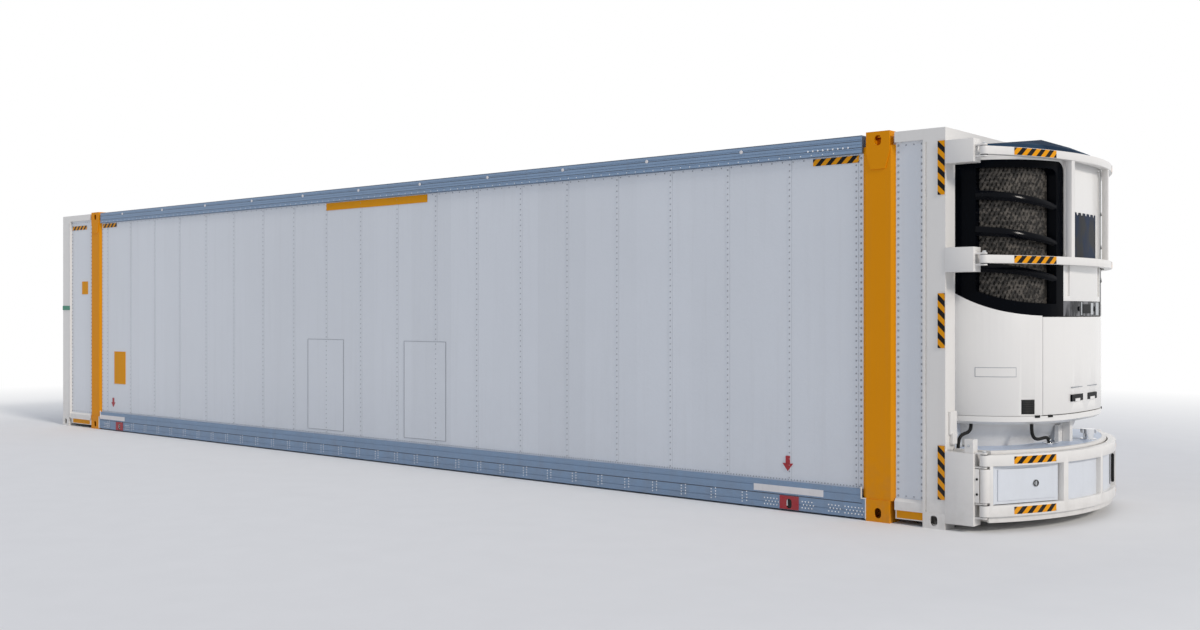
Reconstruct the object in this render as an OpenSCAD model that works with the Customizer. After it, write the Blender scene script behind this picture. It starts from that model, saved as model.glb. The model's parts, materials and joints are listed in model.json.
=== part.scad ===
// Refrigerated shipping container, 46 ft 6 in long and 9 ft 10 in high over its lift castings.
// A diesel refrigeration unit hangs on the front wall, behind two guards that swing on the near side.
// X runs from the rear doors to the nose, Y across, Z up. The origin is under the middle, on the ground.

/* [Overall] */
// Distance along the container between the lift casting holes
casting_span = 11985; // [9000:5:13000]
// Depth of the lift casting holes behind the castings' outer faces
hole_inset = 120.5; // [105:0.5:125]
// Body behind the rear lift casting holes
rear_overhang = 924; // [760:2:1400]
// Body ahead of the front lift casting holes
front_overhang = 549; // [460:1:900]
// Reach of the lower guard ahead of the front posts
nose_reach = 715; // [690:5:900]
// Width over the castings
body_w = 2500; // [2460:2:2560]
// Height over the lift castings
stack_h = 2997; // [2900:1:3200]

/* [Walls] */
// Thickness of the insulated side walls
wall_t = 75; // [50:1:100]
// Depth of the side panels behind the casting faces
wall_inset = 32; // [20:1:45]
// Length of the two cover plates on the near side wall
patch_l = 635; // [400:5:900]
// Height of the cover plates on the near side wall
patch_h = 1010; // [600:10:1500]
// Thickness of the insulated roof
roof_t = 90; // [50:1:110]
// Thickness of the insulated floor
floor_t = 110; // [60:1:130]
// Distance between the grooves in the floor's planks
groove_pitch = 70; // [60:1:120]
// Depth of the grooves in the floor's planks
groove_d = 38; // [20:1:45]
// Thickness of the insulated front wall
front_wall_t = 95; // [60:1:120]
// Depth of the front wall behind the front posts' faces
front_wall_inset = 40; // [20:1:60]

/* [Rails] */
// Depth of the rails behind the casting faces
rail_inset = 6; // [4:1:12]
// Height of the top rails
top_rail_h = 140; // [110:1:170]
// Height of the bottom rails
bottom_rail_h = 225; // [190:1:250]
// Height of the bottom rails above the ground
ground_gap = 15; // [8:1:30]
// Thickness of the bottom rails' web
web_t = 14; // [8:1:20]
// Depth of the bottom rails' flanges
flange_w = 60; // [50:1:75]
// Depth of the ribs on the rails
rib_depth = 4; // [2:0.5:6]
// Distance between the underfloor crossmembers
crossmember_pitch = 315; // [250:5:500]

/* [Lift posts] */
// Width of a lift post at the side panels
lift_post_w = 276; // [250:2:320]
// Width of a lift post's outer face
lift_face_w = 212; // [204:2:230]
// Depth of the lift posts' faces behind the casting faces
lift_face_inset = 8; // [6:1:12]
// Depth of a lift post into the container
lift_post_d = 130; // [115:1:160]
// Height of the posts' tops above the top rails' lower edge
lift_post_rise = 46; // [20:1:80]
// Width of a lift casting along the container
lift_casting_w = 200; // [190:2:204]
// Height of the lower lift castings
lift_casting_h = 170; // [150:1:180]
// Height of the upper lift castings
top_casting_h = 154; // [130:1:170]
// Depth of all castings across the container
casting_d = 170; // [160:1:178]
// Length of the castings' twistlock holes
lock_hole_l = 124; // [110:1:130]
// Width of the castings' twistlock holes
lock_hole_w = 63.5; // [56:0.5:66]
// Thickness of the castings' walls
casting_wall = 28; // [20:1:32]

/* [Ends] */
// Length of an end casting along the container
end_casting_l = 178; // [165:1:190]
// Height of an end casting
end_casting_h = 118; // [105:1:130]
// Width of a front corner post along the container
front_post_w = 179; // [178:1:220]
// Depth of a front corner post across the container
front_post_d = 171; // [150:1:200]
// Width of a rear corner post along the container
rear_post_w = 214; // [190:1:250]
// Depth of a rear corner post across the container
rear_post_d = 120; // [100:1:140]
// Height of the end headers
header_h = 100; // [80:1:130]
// Height of the rear sill
rear_sill_h = 165; // [130:1:190]
// Thickness of the rear doors
door_t = 85; // [60:1:100]
// Depth of the rear doors behind the rear posts' faces
door_inset = 62; // [55:1:75]
// Radius of the rear doors' lock rods
lock_rod_r = 17; // [12:0.5:20]

/* [Guards] */
// Reach of the guard brackets ahead of the front posts
bracket_reach = 220; // [180:2:240]
// Width of the guard brackets across the container
bracket_w = 126; // [100:1:150]
// Distance of the hinge pins ahead of the brackets
hinge_offset = 61; // [50:1:75]
// Depth of the hinge pins behind the casting faces
hinge_inset = 50; // [44:1:60]
// Radius of the hinge pins
pin_r = 12; // [8:0.5:15]
// Thickness of the guards' rails
guard_t = 60; // [50:1:70]
// Depth of the upper guard behind the lower one
upper_guard_inset = 39; // [20:1:60]
// Depth of the upper guard's top below the front header
upper_guard_drop = 62; // [60:2:140]
// Height of the upper guard over its rails
upper_guard_h = 851; // [760:1:870]
// Height of the lower guard's lower rail
lower_guard_z = 122; // [110:1:150]
// Height of the lower guard over its rails
lower_guard_h = 448; // [400:2:456]
// Height of the lower guard's rails
lower_rail_h = 80; // [60:1:95]
// Clearance round everything that moves
swing_gap = 6; // [5:0.5:12]

/* [Tank] */
// Clearance between the tank and the lower guard's rails
tank_gap = 30; // [15:1:40]
// Thickness of the tank's plates
tank_t = 12; // [6:1:16]
// Height of the tank's underside
tank_z = 70; // [30:1:90]
// Thickness of the deck plate over the tank
deck_t = 18; // [10:1:25]
// Overhang of the deck plate beyond the tank
deck_overhang = 16; // [8:1:20]

/* [Refrigeration unit] */
// Reach of the unit ahead of the front posts
unit_reach = 590; // [560:1:600]
// Depth of the unit's widest sides behind the casting faces
unit_side_inset = 250; // [210:5:310]
// Squareness of the unit's plan, 2 for an ellipse
unit_power = 2.7; // [2.2:0.1:3.4]
// Height of the unit's underside
unit_z = 770; // [740:5:800]
// Height of the lip under the unit's doors
lip_h = 60; // [40:1:80]
// Depth of the unit's top below the front header
unit_drop = 80; // [70:5:130]
// Thickness of the unit's outer panels
panel_t = 30; // [20:1:36]
// Half of the lower front door's width
door_half_w = 625; // [560:5:660]
// Height of the lower front door's top
door_top_z = 1574; // [1540:2:1580]
// Height of the side cowls' top edge at the front
cowl_front_z = 1580; // [1560:2:1600]
// Rise of the cowls' top edge from the front to the wall
cowl_rise = 150; // [80:2:180]
// Number of louvre blades on each side
blade_count = 3; // [1:1:4]
// Height of a louvre blade
blade_h = 80; // [40:1:90]
// Depth of a louvre blade
blade_d = 50; // [30:1:60]
// Height of the display strip over the front door
display_h = 115; // [90:1:130]

/* [Hidden] */

white = "whitesmoke";
yellow = "orange";
steel = "lightslategray";
black = "#15171a";

total_l = rear_overhang + casting_span + front_overhang + nose_reach;
x_rear = -total_l / 2;
x_lift_rear = x_rear + rear_overhang;
x_lift_front = x_lift_rear + casting_span;
x_front = x_lift_front + front_overhang;
x_nose = x_front + nose_reach;
lift_places = [x_lift_rear, x_lift_front];

y_face = body_w / 2;
y_rail = y_face - rail_inset;
y_wall = y_face - wall_inset;
y_inner = y_wall - wall_t;
y_hole = y_face - hole_inset;
y_casting = y_face - casting_d;
y_lift_face = y_face - lift_face_inset;
y_lift_back = y_face - lift_post_d;

rail_top_z = stack_h - 17;
top_rail_z = rail_top_z - top_rail_h;
bottom_rail_z = ground_gap + bottom_rail_h;
sill_h = 50;
floor_z = bottom_rail_z - sill_h;
beam_z = 90;
bay_top_z = rail_top_z - 80;
bay_bottom_z = 197;
band_z = 40;
beam_low_z = 108;
header_z = rail_top_z - header_h;
roof_z = rail_top_z - 4 - roof_t;
x_wall = x_front - front_wall_inset;
x_wall_back = x_wall - front_wall_t;
x_door = x_rear + door_inset;
x_door_back = x_door + door_t;
post_top_z = top_rail_z + lift_post_rise;
bore_gap = 0.4;
unit_top_z = header_z - unit_drop;
unit_half_w = y_face - unit_side_inset;

// Helpers

module block(lo, hi) translate(lo) cube(hi - lo);

module both_sides() {
    children();
    mirror([0, 1, 0]) children();
}

// Extrudes a profile drawn in Y and Z from one X to another
module along_x(x0, x1) translate([x0, 0, 0]) rotate([90, 0, 90]) linear_extrude(x1 - x0) children();

// Extrudes a profile drawn in X and Z from one Y to another
module along_y(y0, y1) translate([0, y1, 0]) rotate([90, 0, 0]) linear_extrude(y1 - y0) children();

module plate(z0, z1) translate([0, 0, z0]) linear_extrude(z1 - z0) children();

// Upright hole with round ends, its length along X
module slot_x(l, w, h) {
    for (s = [-1, 1]) translate([s * (l - w) / 2, 0, 0]) cylinder(h = h, d = w, $fn = 48);
    translate([-(l - w) / 2, -w / 2, 0]) cube([l - w, w, h]);
}

// Points of an arc from one angle to another
function arc(c, r, a0, a1, n) = [for (i = [0:n]) let (a = a0 + (a1 - a0) * i / n) c + r * [cos(a), sin(a)]];

function reversed(v) = [for (i = [len(v) - 1:-1:0]) v[i]];

// Tube swept along a route, as one skin
module hose(route, r, sides = 10) {
    n = len(route);
    dirs = [for (i = [0:n - 1]) let (d = route[min(i + 1, n - 1)] - route[max(i - 1, 0)]) d / norm(d)];
    rings = [for (i = [0:n - 1]) let (d = dirs[i], s = cross([0.3, 1, 0], d), u = s / norm(s), v = cross(d, u))
        for (k = [0:sides - 1]) route[i] + r * (cos(360 * k / sides) * u + sin(360 * k / sides) * v)];
    faces = concat([[for (k = [0:sides - 1]) k]],
        [for (i = [0:n - 2]) for (k = [0:sides - 1]) let (a = i * sides + k, b = i * sides + (k + 1) % sides)
            [a, a + sides, b + sides, b]],
        [[for (k = [sides - 1:-1:0]) (n - 1) * sides + k]]);
    polyhedron(rings, faces);
}

// Smooth curve through four control points, with short upright ends
end_l = 8;
function bezier(p, n) = concat([p[0] + [0, 0, end_l]], [for (i = [0:n]) let (t = i / n, s = 1 - t)
    s * s * s * p[0] + 3 * s * s * t * p[1] + 3 * s * t * t * p[2] + t * t * t * p[3]], [p[3] - [0, 0, end_l]]);

// Lift posts and castings

module lift_post_plan() polygon([
    [-lift_post_w / 2, y_lift_back], [lift_post_w / 2, y_lift_back], [lift_post_w / 2, y_wall],
    [lift_face_w / 2, y_lift_face], [-lift_face_w / 2, y_lift_face], [-lift_post_w / 2, y_wall]]);

// Tapered plate under each upper casting
gusset_z = 134;
gusset_w = 124;

module lift_posts() color(yellow) for (x = lift_places) translate([x, 0, 0]) both_sides() {
    difference() {
        plate(lift_casting_h, post_top_z) lift_post_plan();
        block([-lift_casting_w / 2, y_casting, stack_h - top_casting_h], [lift_casting_w / 2, y_face, stack_h]);
    }
    along_y(y_lift_face, y_face) polygon([
        [-lift_casting_w / 2, stack_h - top_casting_h], [lift_casting_w / 2, stack_h - top_casting_h],
        [gusset_w / 2, stack_h - top_casting_h - gusset_z],
        [-gusset_w / 2, stack_h - top_casting_h - gusset_z]]);
}

// Cast corner box with a twistlock hole in its flat face and a hole in its side
module casting(l, h, hole_z, up) difference() {
    block([-l / 2, y_casting, 0], [l / 2, y_face, h]);
    block([casting_wall / 2 - l / 2, y_casting + casting_wall / 2, casting_wall],
        [l / 2 - casting_wall / 2, y_face - casting_wall / 2, h - casting_wall]);
    translate([0, y_hole, up ? h - casting_wall - 1 : -1]) slot_x(lock_hole_l, lock_hole_w, casting_wall + 2);
    for (z = [-1, 1]) translate([0, y_face - casting_wall, hole_z + z * 11])
        rotate([-90, 0, 0]) cylinder(h = casting_wall * 2, r = 29, $fn = 48);
    block([-29, y_face - casting_wall, hole_z - 11], [29, y_face + 1, hole_z + 11]);
}

module lower_lift_castings() color(yellow) for (x = lift_places) translate([x, 0, 0]) both_sides()
    casting(lift_casting_w, lift_casting_h, 68, false);

module upper_lift_castings() color(yellow) for (x = lift_places)
    translate([x, 0, stack_h - top_casting_h]) both_sides() casting(lift_casting_w, top_casting_h, 86, true);

module end_castings() color(white)
    for (x = [x_rear + end_casting_l / 2, x_front - end_casting_l / 2])
        translate([x, 0, 0]) both_sides() casting(end_casting_l, end_casting_h, 59, false);

// Box beams that tie each pair of lift posts, under the floor and over the roof
module bolster_beams() color(steel) for (x = lift_places) translate([x, 0, 0]) {
    block([-lift_post_w / 2 + 8, -y_lift_back, lift_casting_h], [lift_post_w / 2 - 8, y_lift_back, floor_z]);
    block([-lift_post_w / 2 + 38, -y_casting, 30], [lift_post_w / 2 - 38, y_casting, lift_casting_h]);
    block([-lift_casting_w / 2, -y_casting, roof_z], [lift_casting_w / 2, y_casting, rail_top_z - 2]);
}

// Side walls and rails

module main_wall(y0, y1) block([x_lift_rear + lift_post_w / 2, y0, bottom_rail_z],
    [x_lift_front - lift_post_w / 2, y1, top_rail_z]);

module side_wall_left() color(white) main_wall(y_inner, y_wall);

// Cover plates on the near side, measured back from the front lift casting hole
patch_t = 3;
patch_rise = 55;
patch_places = [5210, 6870];

module side_wall_right() color(white) {
    main_wall(-y_wall, -y_inner);
    for (d = patch_places) block([x_lift_front - d - patch_l / 2, -y_wall - patch_t, bottom_rail_z + patch_rise],
        [x_lift_front - d + patch_l / 2, -y_wall, bottom_rail_z + patch_rise + patch_h]);
}

module top_rail_profile() difference() {
    translate([y_inner, top_rail_z]) square([y_rail - y_inner, top_rail_h]);
    for (k = [0:2]) translate([y_rail - rib_depth, top_rail_z + top_rail_h * (0.2 + 0.27 * k)])
        square([rib_depth + 1, 7]);
    translate([y_inner - 1, roof_z]) square([wall_t / 2, rail_top_z]);
}

module top_rails() color(steel) both_sides()
    along_x(x_lift_rear + lift_post_w / 2, x_lift_front - lift_post_w / 2) top_rail_profile();

module bottom_rail_profile() difference() {
    translate([y_rail - flange_w, ground_gap]) square([flange_w, bottom_rail_h]);
    translate([y_rail - flange_w - 1, ground_gap + 12])
        square([flange_w - web_t + 1, bottom_rail_h - sill_h - 12]);
    for (z = [0.2, 0.5, 0.78]) translate([y_rail - rib_depth, ground_gap + z * bottom_rail_h])
        square([rib_depth + 1, 7]);
}

module bottom_rails() color(steel) both_sides()
    along_x(x_lift_rear + lift_post_w / 2, x_lift_front - lift_post_w / 2) bottom_rail_profile();

// End bays, between the lift posts and the corner posts
bays = [[x_rear + rear_post_w, x_lift_rear - lift_post_w / 2],
    [x_lift_front + lift_post_w / 2, x_front - front_post_w]];

module bay_walls() color(white) both_sides() for (b = bays) {
    block([b[0], y_inner, bay_bottom_z], [b[1], y_wall, roof_z]);
    block([b[0], y_inner + wall_t / 2, roof_z - 1], [b[1], y_wall, bay_top_z]);
}

module bay_rails() color(white) both_sides() for (b = bays) {
    block([b[0], y_inner + wall_t / 2, bay_top_z], [b[1], y_rail, rail_top_z]);
    along_x(b[0], b[1]) polygon([[y_inner, beam_low_z], [y_rail - 25, beam_low_z], [y_rail - 25, band_z],
        [y_rail - 17, band_z], [y_rail - 17, beam_low_z], [y_rail, beam_low_z], [y_rail, beam_low_z + 66],
        [y_rail - 17, bay_bottom_z], [y_inner, bay_bottom_z]]);
}

// Roof, floor and crossmembers

spans = [[x_rear + rear_post_w, x_lift_rear - lift_casting_w / 2],
    [x_lift_rear + lift_casting_w / 2, x_lift_front - lift_casting_w / 2],
    [x_lift_front + lift_casting_w / 2, x_front - front_post_w]];

module roof() color(white) for (s = spans)
    block([s[0], -y_inner - wall_t / 2 + 1, roof_z], [s[1], y_inner + wall_t / 2 - 1, roof_z + roof_t]);

// Floor slab with grooved planks, notched round the posts
groove_w = groove_pitch * 0.45;
groove_n = floor((y_lift_back - groove_pitch) / groove_pitch);

module floor() color(steel) difference() {
    block([x_door_back, -y_inner, floor_z], [x_wall_back, y_inner, floor_z + floor_t]);
    for (k = [-groove_n:groove_n]) block([x_rear + rear_post_w + 40, k * groove_pitch - groove_w / 2,
        floor_z + floor_t - groove_d],
        [x_wall_back - 60, k * groove_pitch + groove_w / 2, floor_z + floor_t + 1]);
    both_sides() {
        for (x = lift_places)
            block([x - lift_post_w / 2, y_lift_back, 0], [x + lift_post_w / 2, y_face, stack_h]);
        block([x_front - front_post_w, y_face - front_post_d, 0], [x_front, y_face, stack_h]);
        block([x_rear, y_face - rear_post_d, 0], [x_rear + rear_post_w, y_face, stack_h]);
    }
}

// Underfloor beam with upper and lower flanges
module crossmember_profile(w, h, t) polygon([[-w / 2, 0], [w / 2, 0], [w / 2, t], [t / 2, t], [t / 2, h - t],
    [w / 2, h - t], [w / 2, h], [-w / 2, h], [-w / 2, h - t], [-t / 2, h - t], [-t / 2, t], [-w / 2, t]]);

crossmember_n = floor((casting_span - lift_post_w - 120) / crossmember_pitch);
crossmember_start = (x_lift_rear + x_lift_front - (crossmember_n - 1) * crossmember_pitch) / 2;

module crossmembers() color(steel) for (i = [0:crossmember_n - 1])
    translate([crossmember_start + i * crossmember_pitch, 0, beam_z])
        along_y(web_t - y_rail, y_rail - web_t) crossmember_profile(45, floor_z - beam_z, 6);

// Front end frame

module front_posts() color(white) both_sides() plate(end_casting_h, header_z) difference() {
    translate([x_front - front_post_w, y_face - front_post_d]) square([front_post_w, front_post_d]);
    translate([x_front - front_post_w + 20, y_rail - 6]) square([14, 20]);
    translate([x_front - front_post_w + 33, y_rail]) square([front_post_w, 20]);
}

sill_half_w = y_face - max(casting_d, front_post_d);

module front_beams() color(white) {
    block([x_front - front_post_w, -y_rail, header_z], [x_front, y_rail, rail_top_z]);
    block([x_wall_back, -sill_half_w, 30], [x_front - 20, sill_half_w, floor_z]);
}

module front_wall() color("silver")
    block([x_wall_back, front_post_d - y_face, floor_z], [x_wall, y_face - front_post_d, header_z]);

// Rear end frame and doors

module rear_posts() color(white) both_sides() plate(end_casting_h, header_z) difference() {
    translate([x_rear, y_face - rear_post_d]) square([rear_post_w, rear_post_d]);
    translate([x_rear + rear_post_w - 34, y_rail - 6]) square([14, 20]);
    translate([x_rear - 1, y_rail]) square([rear_post_w - 32, 20]);
}

module rear_beams() color(white) {
    block([x_rear, -y_rail, header_z], [x_rear + rear_post_w, y_rail, rail_top_z]);
    block([x_door - 6, casting_d - y_face, 20], [x_door_back, y_face - casting_d, rear_sill_h]);
    block([x_door - 6, rear_post_d - y_face, end_casting_h], [x_door_back, y_face - rear_post_d, rear_sill_h]);
}

door_z = rear_sill_h + 12;
leaf_gap = 4;
door_rods = [0.28, 0.78];
leaf_w = y_face - rear_post_d - 12;
// Raised panels on the doors, and the gear that locks them
door_rib = 8;
rib_margin = 36;
rod_end = 40;
rod_guide_w = 76;
rod_guide_h = 50;
lever_l = 380;
lever_z = door_z + 0.32 * (header_z - door_z);

module rear_doors() color(white) both_sides() {
    block([x_door, leaf_gap, door_z], [x_door_back, leaf_w, header_z - 10]);
    for (k = [0, 1]) block([x_door - door_rib, leaf_gap + rib_margin + k * (leaf_w - leaf_gap) / 2, door_z + 60],
        [x_door, leaf_gap - rib_margin + (k + 1) * (leaf_w - leaf_gap) / 2, header_z - 70]);
}

x_rod = x_door - door_rib - lock_rod_r - 6;

module lock_rods() color("lightgray") both_sides() for (f = door_rods) translate([x_rod, leaf_w * f, 0]) {
    translate([0, 0, door_z - 60]) cylinder(h = header_z - door_z + 58, r = lock_rod_r, $fn = 32);
    for (k = [0:3]) let (z = door_z + rod_end + k * (header_z - door_z - 2 * rod_end - rod_guide_h) / 3)
        block([0, -rod_guide_w / 2, z], [x_door - door_rib - x_rod, rod_guide_w / 2, z + rod_guide_h]);
    block([-lock_rod_r - 4, -14, lever_z], [-lock_rod_r + 6, lever_l * (1 - f), lever_z + 30]);
}

module door_hinges() color(white) both_sides() for (k = [0:3])
    translate([0, 0, door_z + 160 + k * (header_z - door_z - 400) / 3]) {
        block([x_door - 14, leaf_w - 150, 0], [x_door - door_rib, leaf_w + 12, 80]);
        translate([x_door - 20, leaf_w - 1, -10]) cylinder(h = 100, r = 12, $fn = 32);
    }

// Hidden restraint castings, marked by plates on the bottom rails
restraint_from_front = 792;
restraint_from_rear = 652;
restraint_w = 176;

module restraint_plates() color("#8a1020") both_sides()
    for (x = [x_lift_rear + restraint_from_rear, x_lift_front - restraint_from_front]) translate([x, 0, 0])
        difference() {
            block([-restraint_w / 2, y_rail, 18], [restraint_w / 2, y_face, 126]);
            for (z = [49, 79]) translate([0, y_rail - 1, z])
                rotate([-90, 0, 0]) cylinder(h = rail_inset + 2, r = 25, $fn = 32);
            block([-25, y_rail - 1, 49], [25, y_face + 1, 79]);
        }

// Guards' fixed brackets and hinges

hinge_x = x_front + bracket_reach + hinge_offset;
hinge_y = -(y_face - hinge_inset);
barrel_r = guard_t / 2 + 4;
upper_top_z = header_z - upper_guard_drop;
upper_guard_z = upper_top_z - upper_guard_h;
lower_top_z = lower_guard_z + lower_guard_h;
// Height of the brackets below and above each of the upper guard's rails
bracket_below = [62, 50];
bracket_above = [60, 61];
side_box_z = 50;
lug_t = 12;
lug_r = 22;
lug_gap = 5;
x_bracket = x_front + bracket_reach;
// Hollowed plate that closes the gap behind the lower guard's middle barrel
hinge_plate_w = 72;
// Lower and upper height of each of the guards' rails, from the ground up
rail_heights = [[lower_guard_z, lower_guard_z + lower_rail_h], [lower_top_z - lower_rail_h, lower_top_z],
    [upper_guard_z, upper_guard_z + guard_t], [upper_top_z - guard_t, upper_top_z]];

low_in_z = rail_heights[0][1];
low_out_z = rail_heights[1][0];
// Lower and upper ends of the barrel between the lower guard's rails
barrel_z = [low_in_z + 2 * lug_gap + lug_t, low_out_z - 2 * lug_gap - lug_t];

// Outer radius of a guard that bows from its hinge pins round to its front
function bow_r(front) = let (s = front - guard_t / 2 - hinge_x)
    (hinge_y * hinge_y + s * s) / (2 * s) + guard_t / 2;

// Angle between the nose and the hinge pins, seen from the bow's centre
function bow_end(front) = asin(-hinge_y / (bow_r(front) - guard_t / 2));

// Point on a guard's bow, t inside its outer face, at an angle from the nose
function bow_point(front, t, a) = let (r = bow_r(front)) [front - r + (r - t) * cos(a), (r - t) * sin(a)];

function bow_line(front, t) = let (e = bow_end(front)) [for (i = [-22:22]) bow_point(front, t, e * i / 22)];

// Frame of reference of a guard's near end: X along the guard from its hinge pin, Y inwards
module at_hinge(front) translate([hinge_x, hinge_y, 0]) rotate([0, 0, 90 - bow_end(front)]) children();

// Pair of lugs above and below a rail's end, on one side of the container
module lugs(y, z0, z1) for (z = [z0 - lug_gap - lug_t, z1 + lug_gap]) {
    block([x_bracket, y - lug_r, z], [hinge_x, y + lug_r, z + lug_t]);
    translate([hinge_x, y, z]) cylinder(h = lug_t, r = lug_r, $fn = 48);
}

module hinge_lugs(z0, z1) {
    lugs(hinge_y, z0, z1);
    translate([hinge_x, hinge_y, z0 - lug_gap - lug_t]) cylinder(h = z1 - z0 + 2 * (lug_gap + lug_t) + 14,
        r = pin_r, $fn = 48);
}

module guard_brackets() color(white) {
    both_sides() {
        for (k = [0, 1]) block([x_front, y_face - bracket_w, rail_heights[k + 2][0] - bracket_below[k]],
            [x_bracket, y_face, rail_heights[k + 2][1] + bracket_above[k]]);
        block([x_front, y_face - bracket_w, side_box_z], [x_bracket, y_face, lower_top_z + 10]);
    }
    for (r = rail_heights) {
        hinge_lugs(r[0], r[1]);
        lugs(-hinge_y, r[0], r[1]);
    }
    difference() {
        block([x_bracket, hinge_y - hinge_plate_w / 2, barrel_z[0]],
            [hinge_x - 24, hinge_y + hinge_plate_w / 2, barrel_z[1]]);
        translate([hinge_x, hinge_y, 0]) cylinder(h = lower_top_z, r = barrel_r + swing_gap, $fn = 64);
    }
}

// Swinging guards

// Plan of a guard's bowed bar, between two depths
module guard_band(front, t0, t1) polygon(concat(bow_line(front, t0), reversed(bow_line(front, t1))));

// Rail of a guard with its hinge barrel at the near end and a tongue that reaches the far bracket
module guard_rail(front, r) {
    difference() {
        union() {
            plate(r[0], r[1]) guard_band(front, 0, guard_t);
            both_sides() translate([hinge_x, hinge_y, r[0]]) cylinder(h = r[1] - r[0], r = barrel_r, $fn = 48);
            block([x_bracket + swing_gap, -hinge_y - guard_t / 2, r[0]], [hinge_x, guard_t / 2 - hinge_y, r[1]]);
        }
        translate([hinge_x, hinge_y, r[0] - 1]) cylinder(h = r[1] - r[0] + 2, r = pin_r + bore_gap, $fn = 48);
    }
}

// Upright of a guard, cut from the same bowed bar as the rails
module guard_upright(front, y, w, z0, z1, t0, t1) intersection() {
    plate(z0, z1) guard_band(front, t0, t1);
    block([hinge_x, y - w / 2, z0], [x_nose + 1, y + w / 2, z1]);
}

upper_upright_y = 390;
upper_upright_w = 46;
upper_front = x_nose - upper_guard_inset;

module upper_guard() color(white) {
    for (r = [rail_heights[2], rail_heights[3]]) guard_rail(upper_front, r);
    for (s = [-1, 1])
        guard_upright(upper_front, s * upper_upright_y, upper_upright_w, rail_heights[2][1], rail_heights[3][0],
            6, guard_t - 6);
}

lower_upright_y = 550;
lower_upright_w = 52;
skirt_z = 76;
// Depths of the skirt's two faces behind the guard's outer face
skirt_depth = [25, 50];
// Stile beside the locker door, measured along the guard from the hinge pin
stile = [30, 54];
locker_pin_r = 4;
locker_pin_l = 40;
locker_pin_y = -2;
locker_pin_gap = 16;
pin_seat = 4;
// Flat plane of the locker door, across the inside of the guard's near bay
bar_r = bow_r(x_nose) - guard_t / 2;
locker_a = bow_point(x_nose, guard_t / 2, (stile[1] + locker_pin_gap) / bar_r * 180 / PI - bow_end(x_nose));
locker_b = bow_point(x_nose, guard_t / 2, -asin((lower_upright_y + lower_upright_w / 2) / bar_r));
locker_dir = (locker_b - locker_a) / norm(locker_b - locker_a);
locker_l = norm(locker_b - locker_a);
locker_angle = atan2(locker_dir[1], locker_dir[0]);

// Frame of reference of the locker door: X along it, Y inwards
module at_locker() translate([locker_a[0], locker_a[1], 0]) rotate([0, 0, locker_angle]) children();

module lower_guard() color(white) {
    for (k = [0, 1]) guard_rail(x_nose, rail_heights[k]);
    difference() {
        plate(skirt_z, lower_guard_z) guard_band(x_nose, skirt_depth[0], skirt_depth[1]);
        both_sides() at_hinge(x_nose)
            block([-guard_t, -guard_t, 0], [stile[0] + 4, guard_t, lower_guard_z + 1]);
    }
    for (y = [-lower_upright_y, 0, lower_upright_y])
        guard_upright(x_nose, y, lower_upright_w, low_in_z, low_out_z, 0, guard_t);
    both_sides() at_hinge(x_nose)
        block([stile[0], -guard_t / 2, low_in_z], [stile[1], guard_t / 2, low_out_z]);
    at_hinge(x_nose) difference() {
        union() {
            translate([0, 0, barrel_z[0]]) cylinder(h = barrel_z[1] - barrel_z[0], r = barrel_r, $fn = 48);
            block([0, -guard_t / 2, barrel_z[0]], [stile[0] + 10, guard_t / 2, barrel_z[1]]);
        }
        translate([0, 0, low_in_z]) cylinder(h = low_out_z - low_in_z, r = pin_r + bore_gap, $fn = 48);
    }
    for (z = [low_in_z - pin_seat, low_out_z + pin_seat - locker_pin_l])
        at_locker() translate([0, locker_pin_y, z]) cylinder(h = locker_pin_l, r = locker_pin_r, $fn = 32);
}

panel_depth = [34, 48];
// Upright slot in the far panel
slot_y = 420;
slot_r = 18;
slot_margin = 40;

module guard_panels() color("ghostwhite") difference() {
    plate(low_in_z, low_out_z) guard_band(x_nose, panel_depth[0], panel_depth[1]);
    both_sides() at_hinge(x_nose) block([-guard_t, -guard_t, 0], [stile[1], 2 * guard_t, lower_top_z]);
    for (y = [-lower_upright_y, 0, lower_upright_y])
        block([hinge_x, y - lower_upright_w / 2, 0], [x_nose, y + lower_upright_w / 2, lower_top_z]);
    block([x_front, -y_face, 0], [x_nose, -lower_upright_y, lower_top_z]);
    for (z = [low_in_z + slot_margin, low_out_z - slot_margin]) translate([hinge_x, slot_y, z])
        rotate([0, 90, 0]) cylinder(h = nose_reach, r = slot_r, $fn = 32);
    block([hinge_x, slot_y - slot_r, low_in_z + slot_margin],
        [x_nose, slot_y + slot_r, low_out_z - slot_margin]);
}

locker_t = 18;
locker_door_l = locker_l - locker_t - swing_gap / 2;

module locker_door() color("ghostwhite") at_locker() difference() {
    union() {
        block([0, -2, low_in_z + swing_gap], [locker_door_l, locker_t - 2, low_out_z - swing_gap]);
        block([40, -locker_t / 2, low_in_z + 30], [locker_l - 46, -2, low_out_z - 30]);
        translate([0, locker_pin_y, low_in_z + swing_gap])
            cylinder(h = low_out_z - low_in_z - 2 * swing_gap, r = locker_pin_r * 2.2, $fn = 48);
    }
    translate([0, locker_pin_y, low_in_z])
        cylinder(h = low_out_z - low_in_z, r = locker_pin_r + bore_gap, $fn = 48);
}

ring_x = 0.62;

module ring_latch() color("silver") at_locker()
    translate([locker_l * ring_x, -locker_t / 2, (low_in_z + low_out_z) / 2]) rotate([90, 0, 0]) {
        difference() {
            cylinder(h = 4, r = 28, $fn = 48);
            translate([0, 0, 2]) cylinder(h = 3, r = 21, $fn = 48);
        }
        translate([-5, -18, 2]) cube([10, 36, 5]);
    }

// Tank housing and deck

tank_back_gap = 4;
tank_half_w = y_face - bracket_w - tank_gap;

// Tank plan: the lower guard's bow set back, between the brackets
module tank_plan(extra) intersection() {
    polygon(concat(bow_line(x_nose, guard_t + tank_gap - extra), [[x_front, y_face], [x_front, -y_face]]));
    translate([x_front + tank_back_gap, -tank_half_w - extra]) square([nose_reach, 2 * (tank_half_w + extra)]);
}

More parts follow.
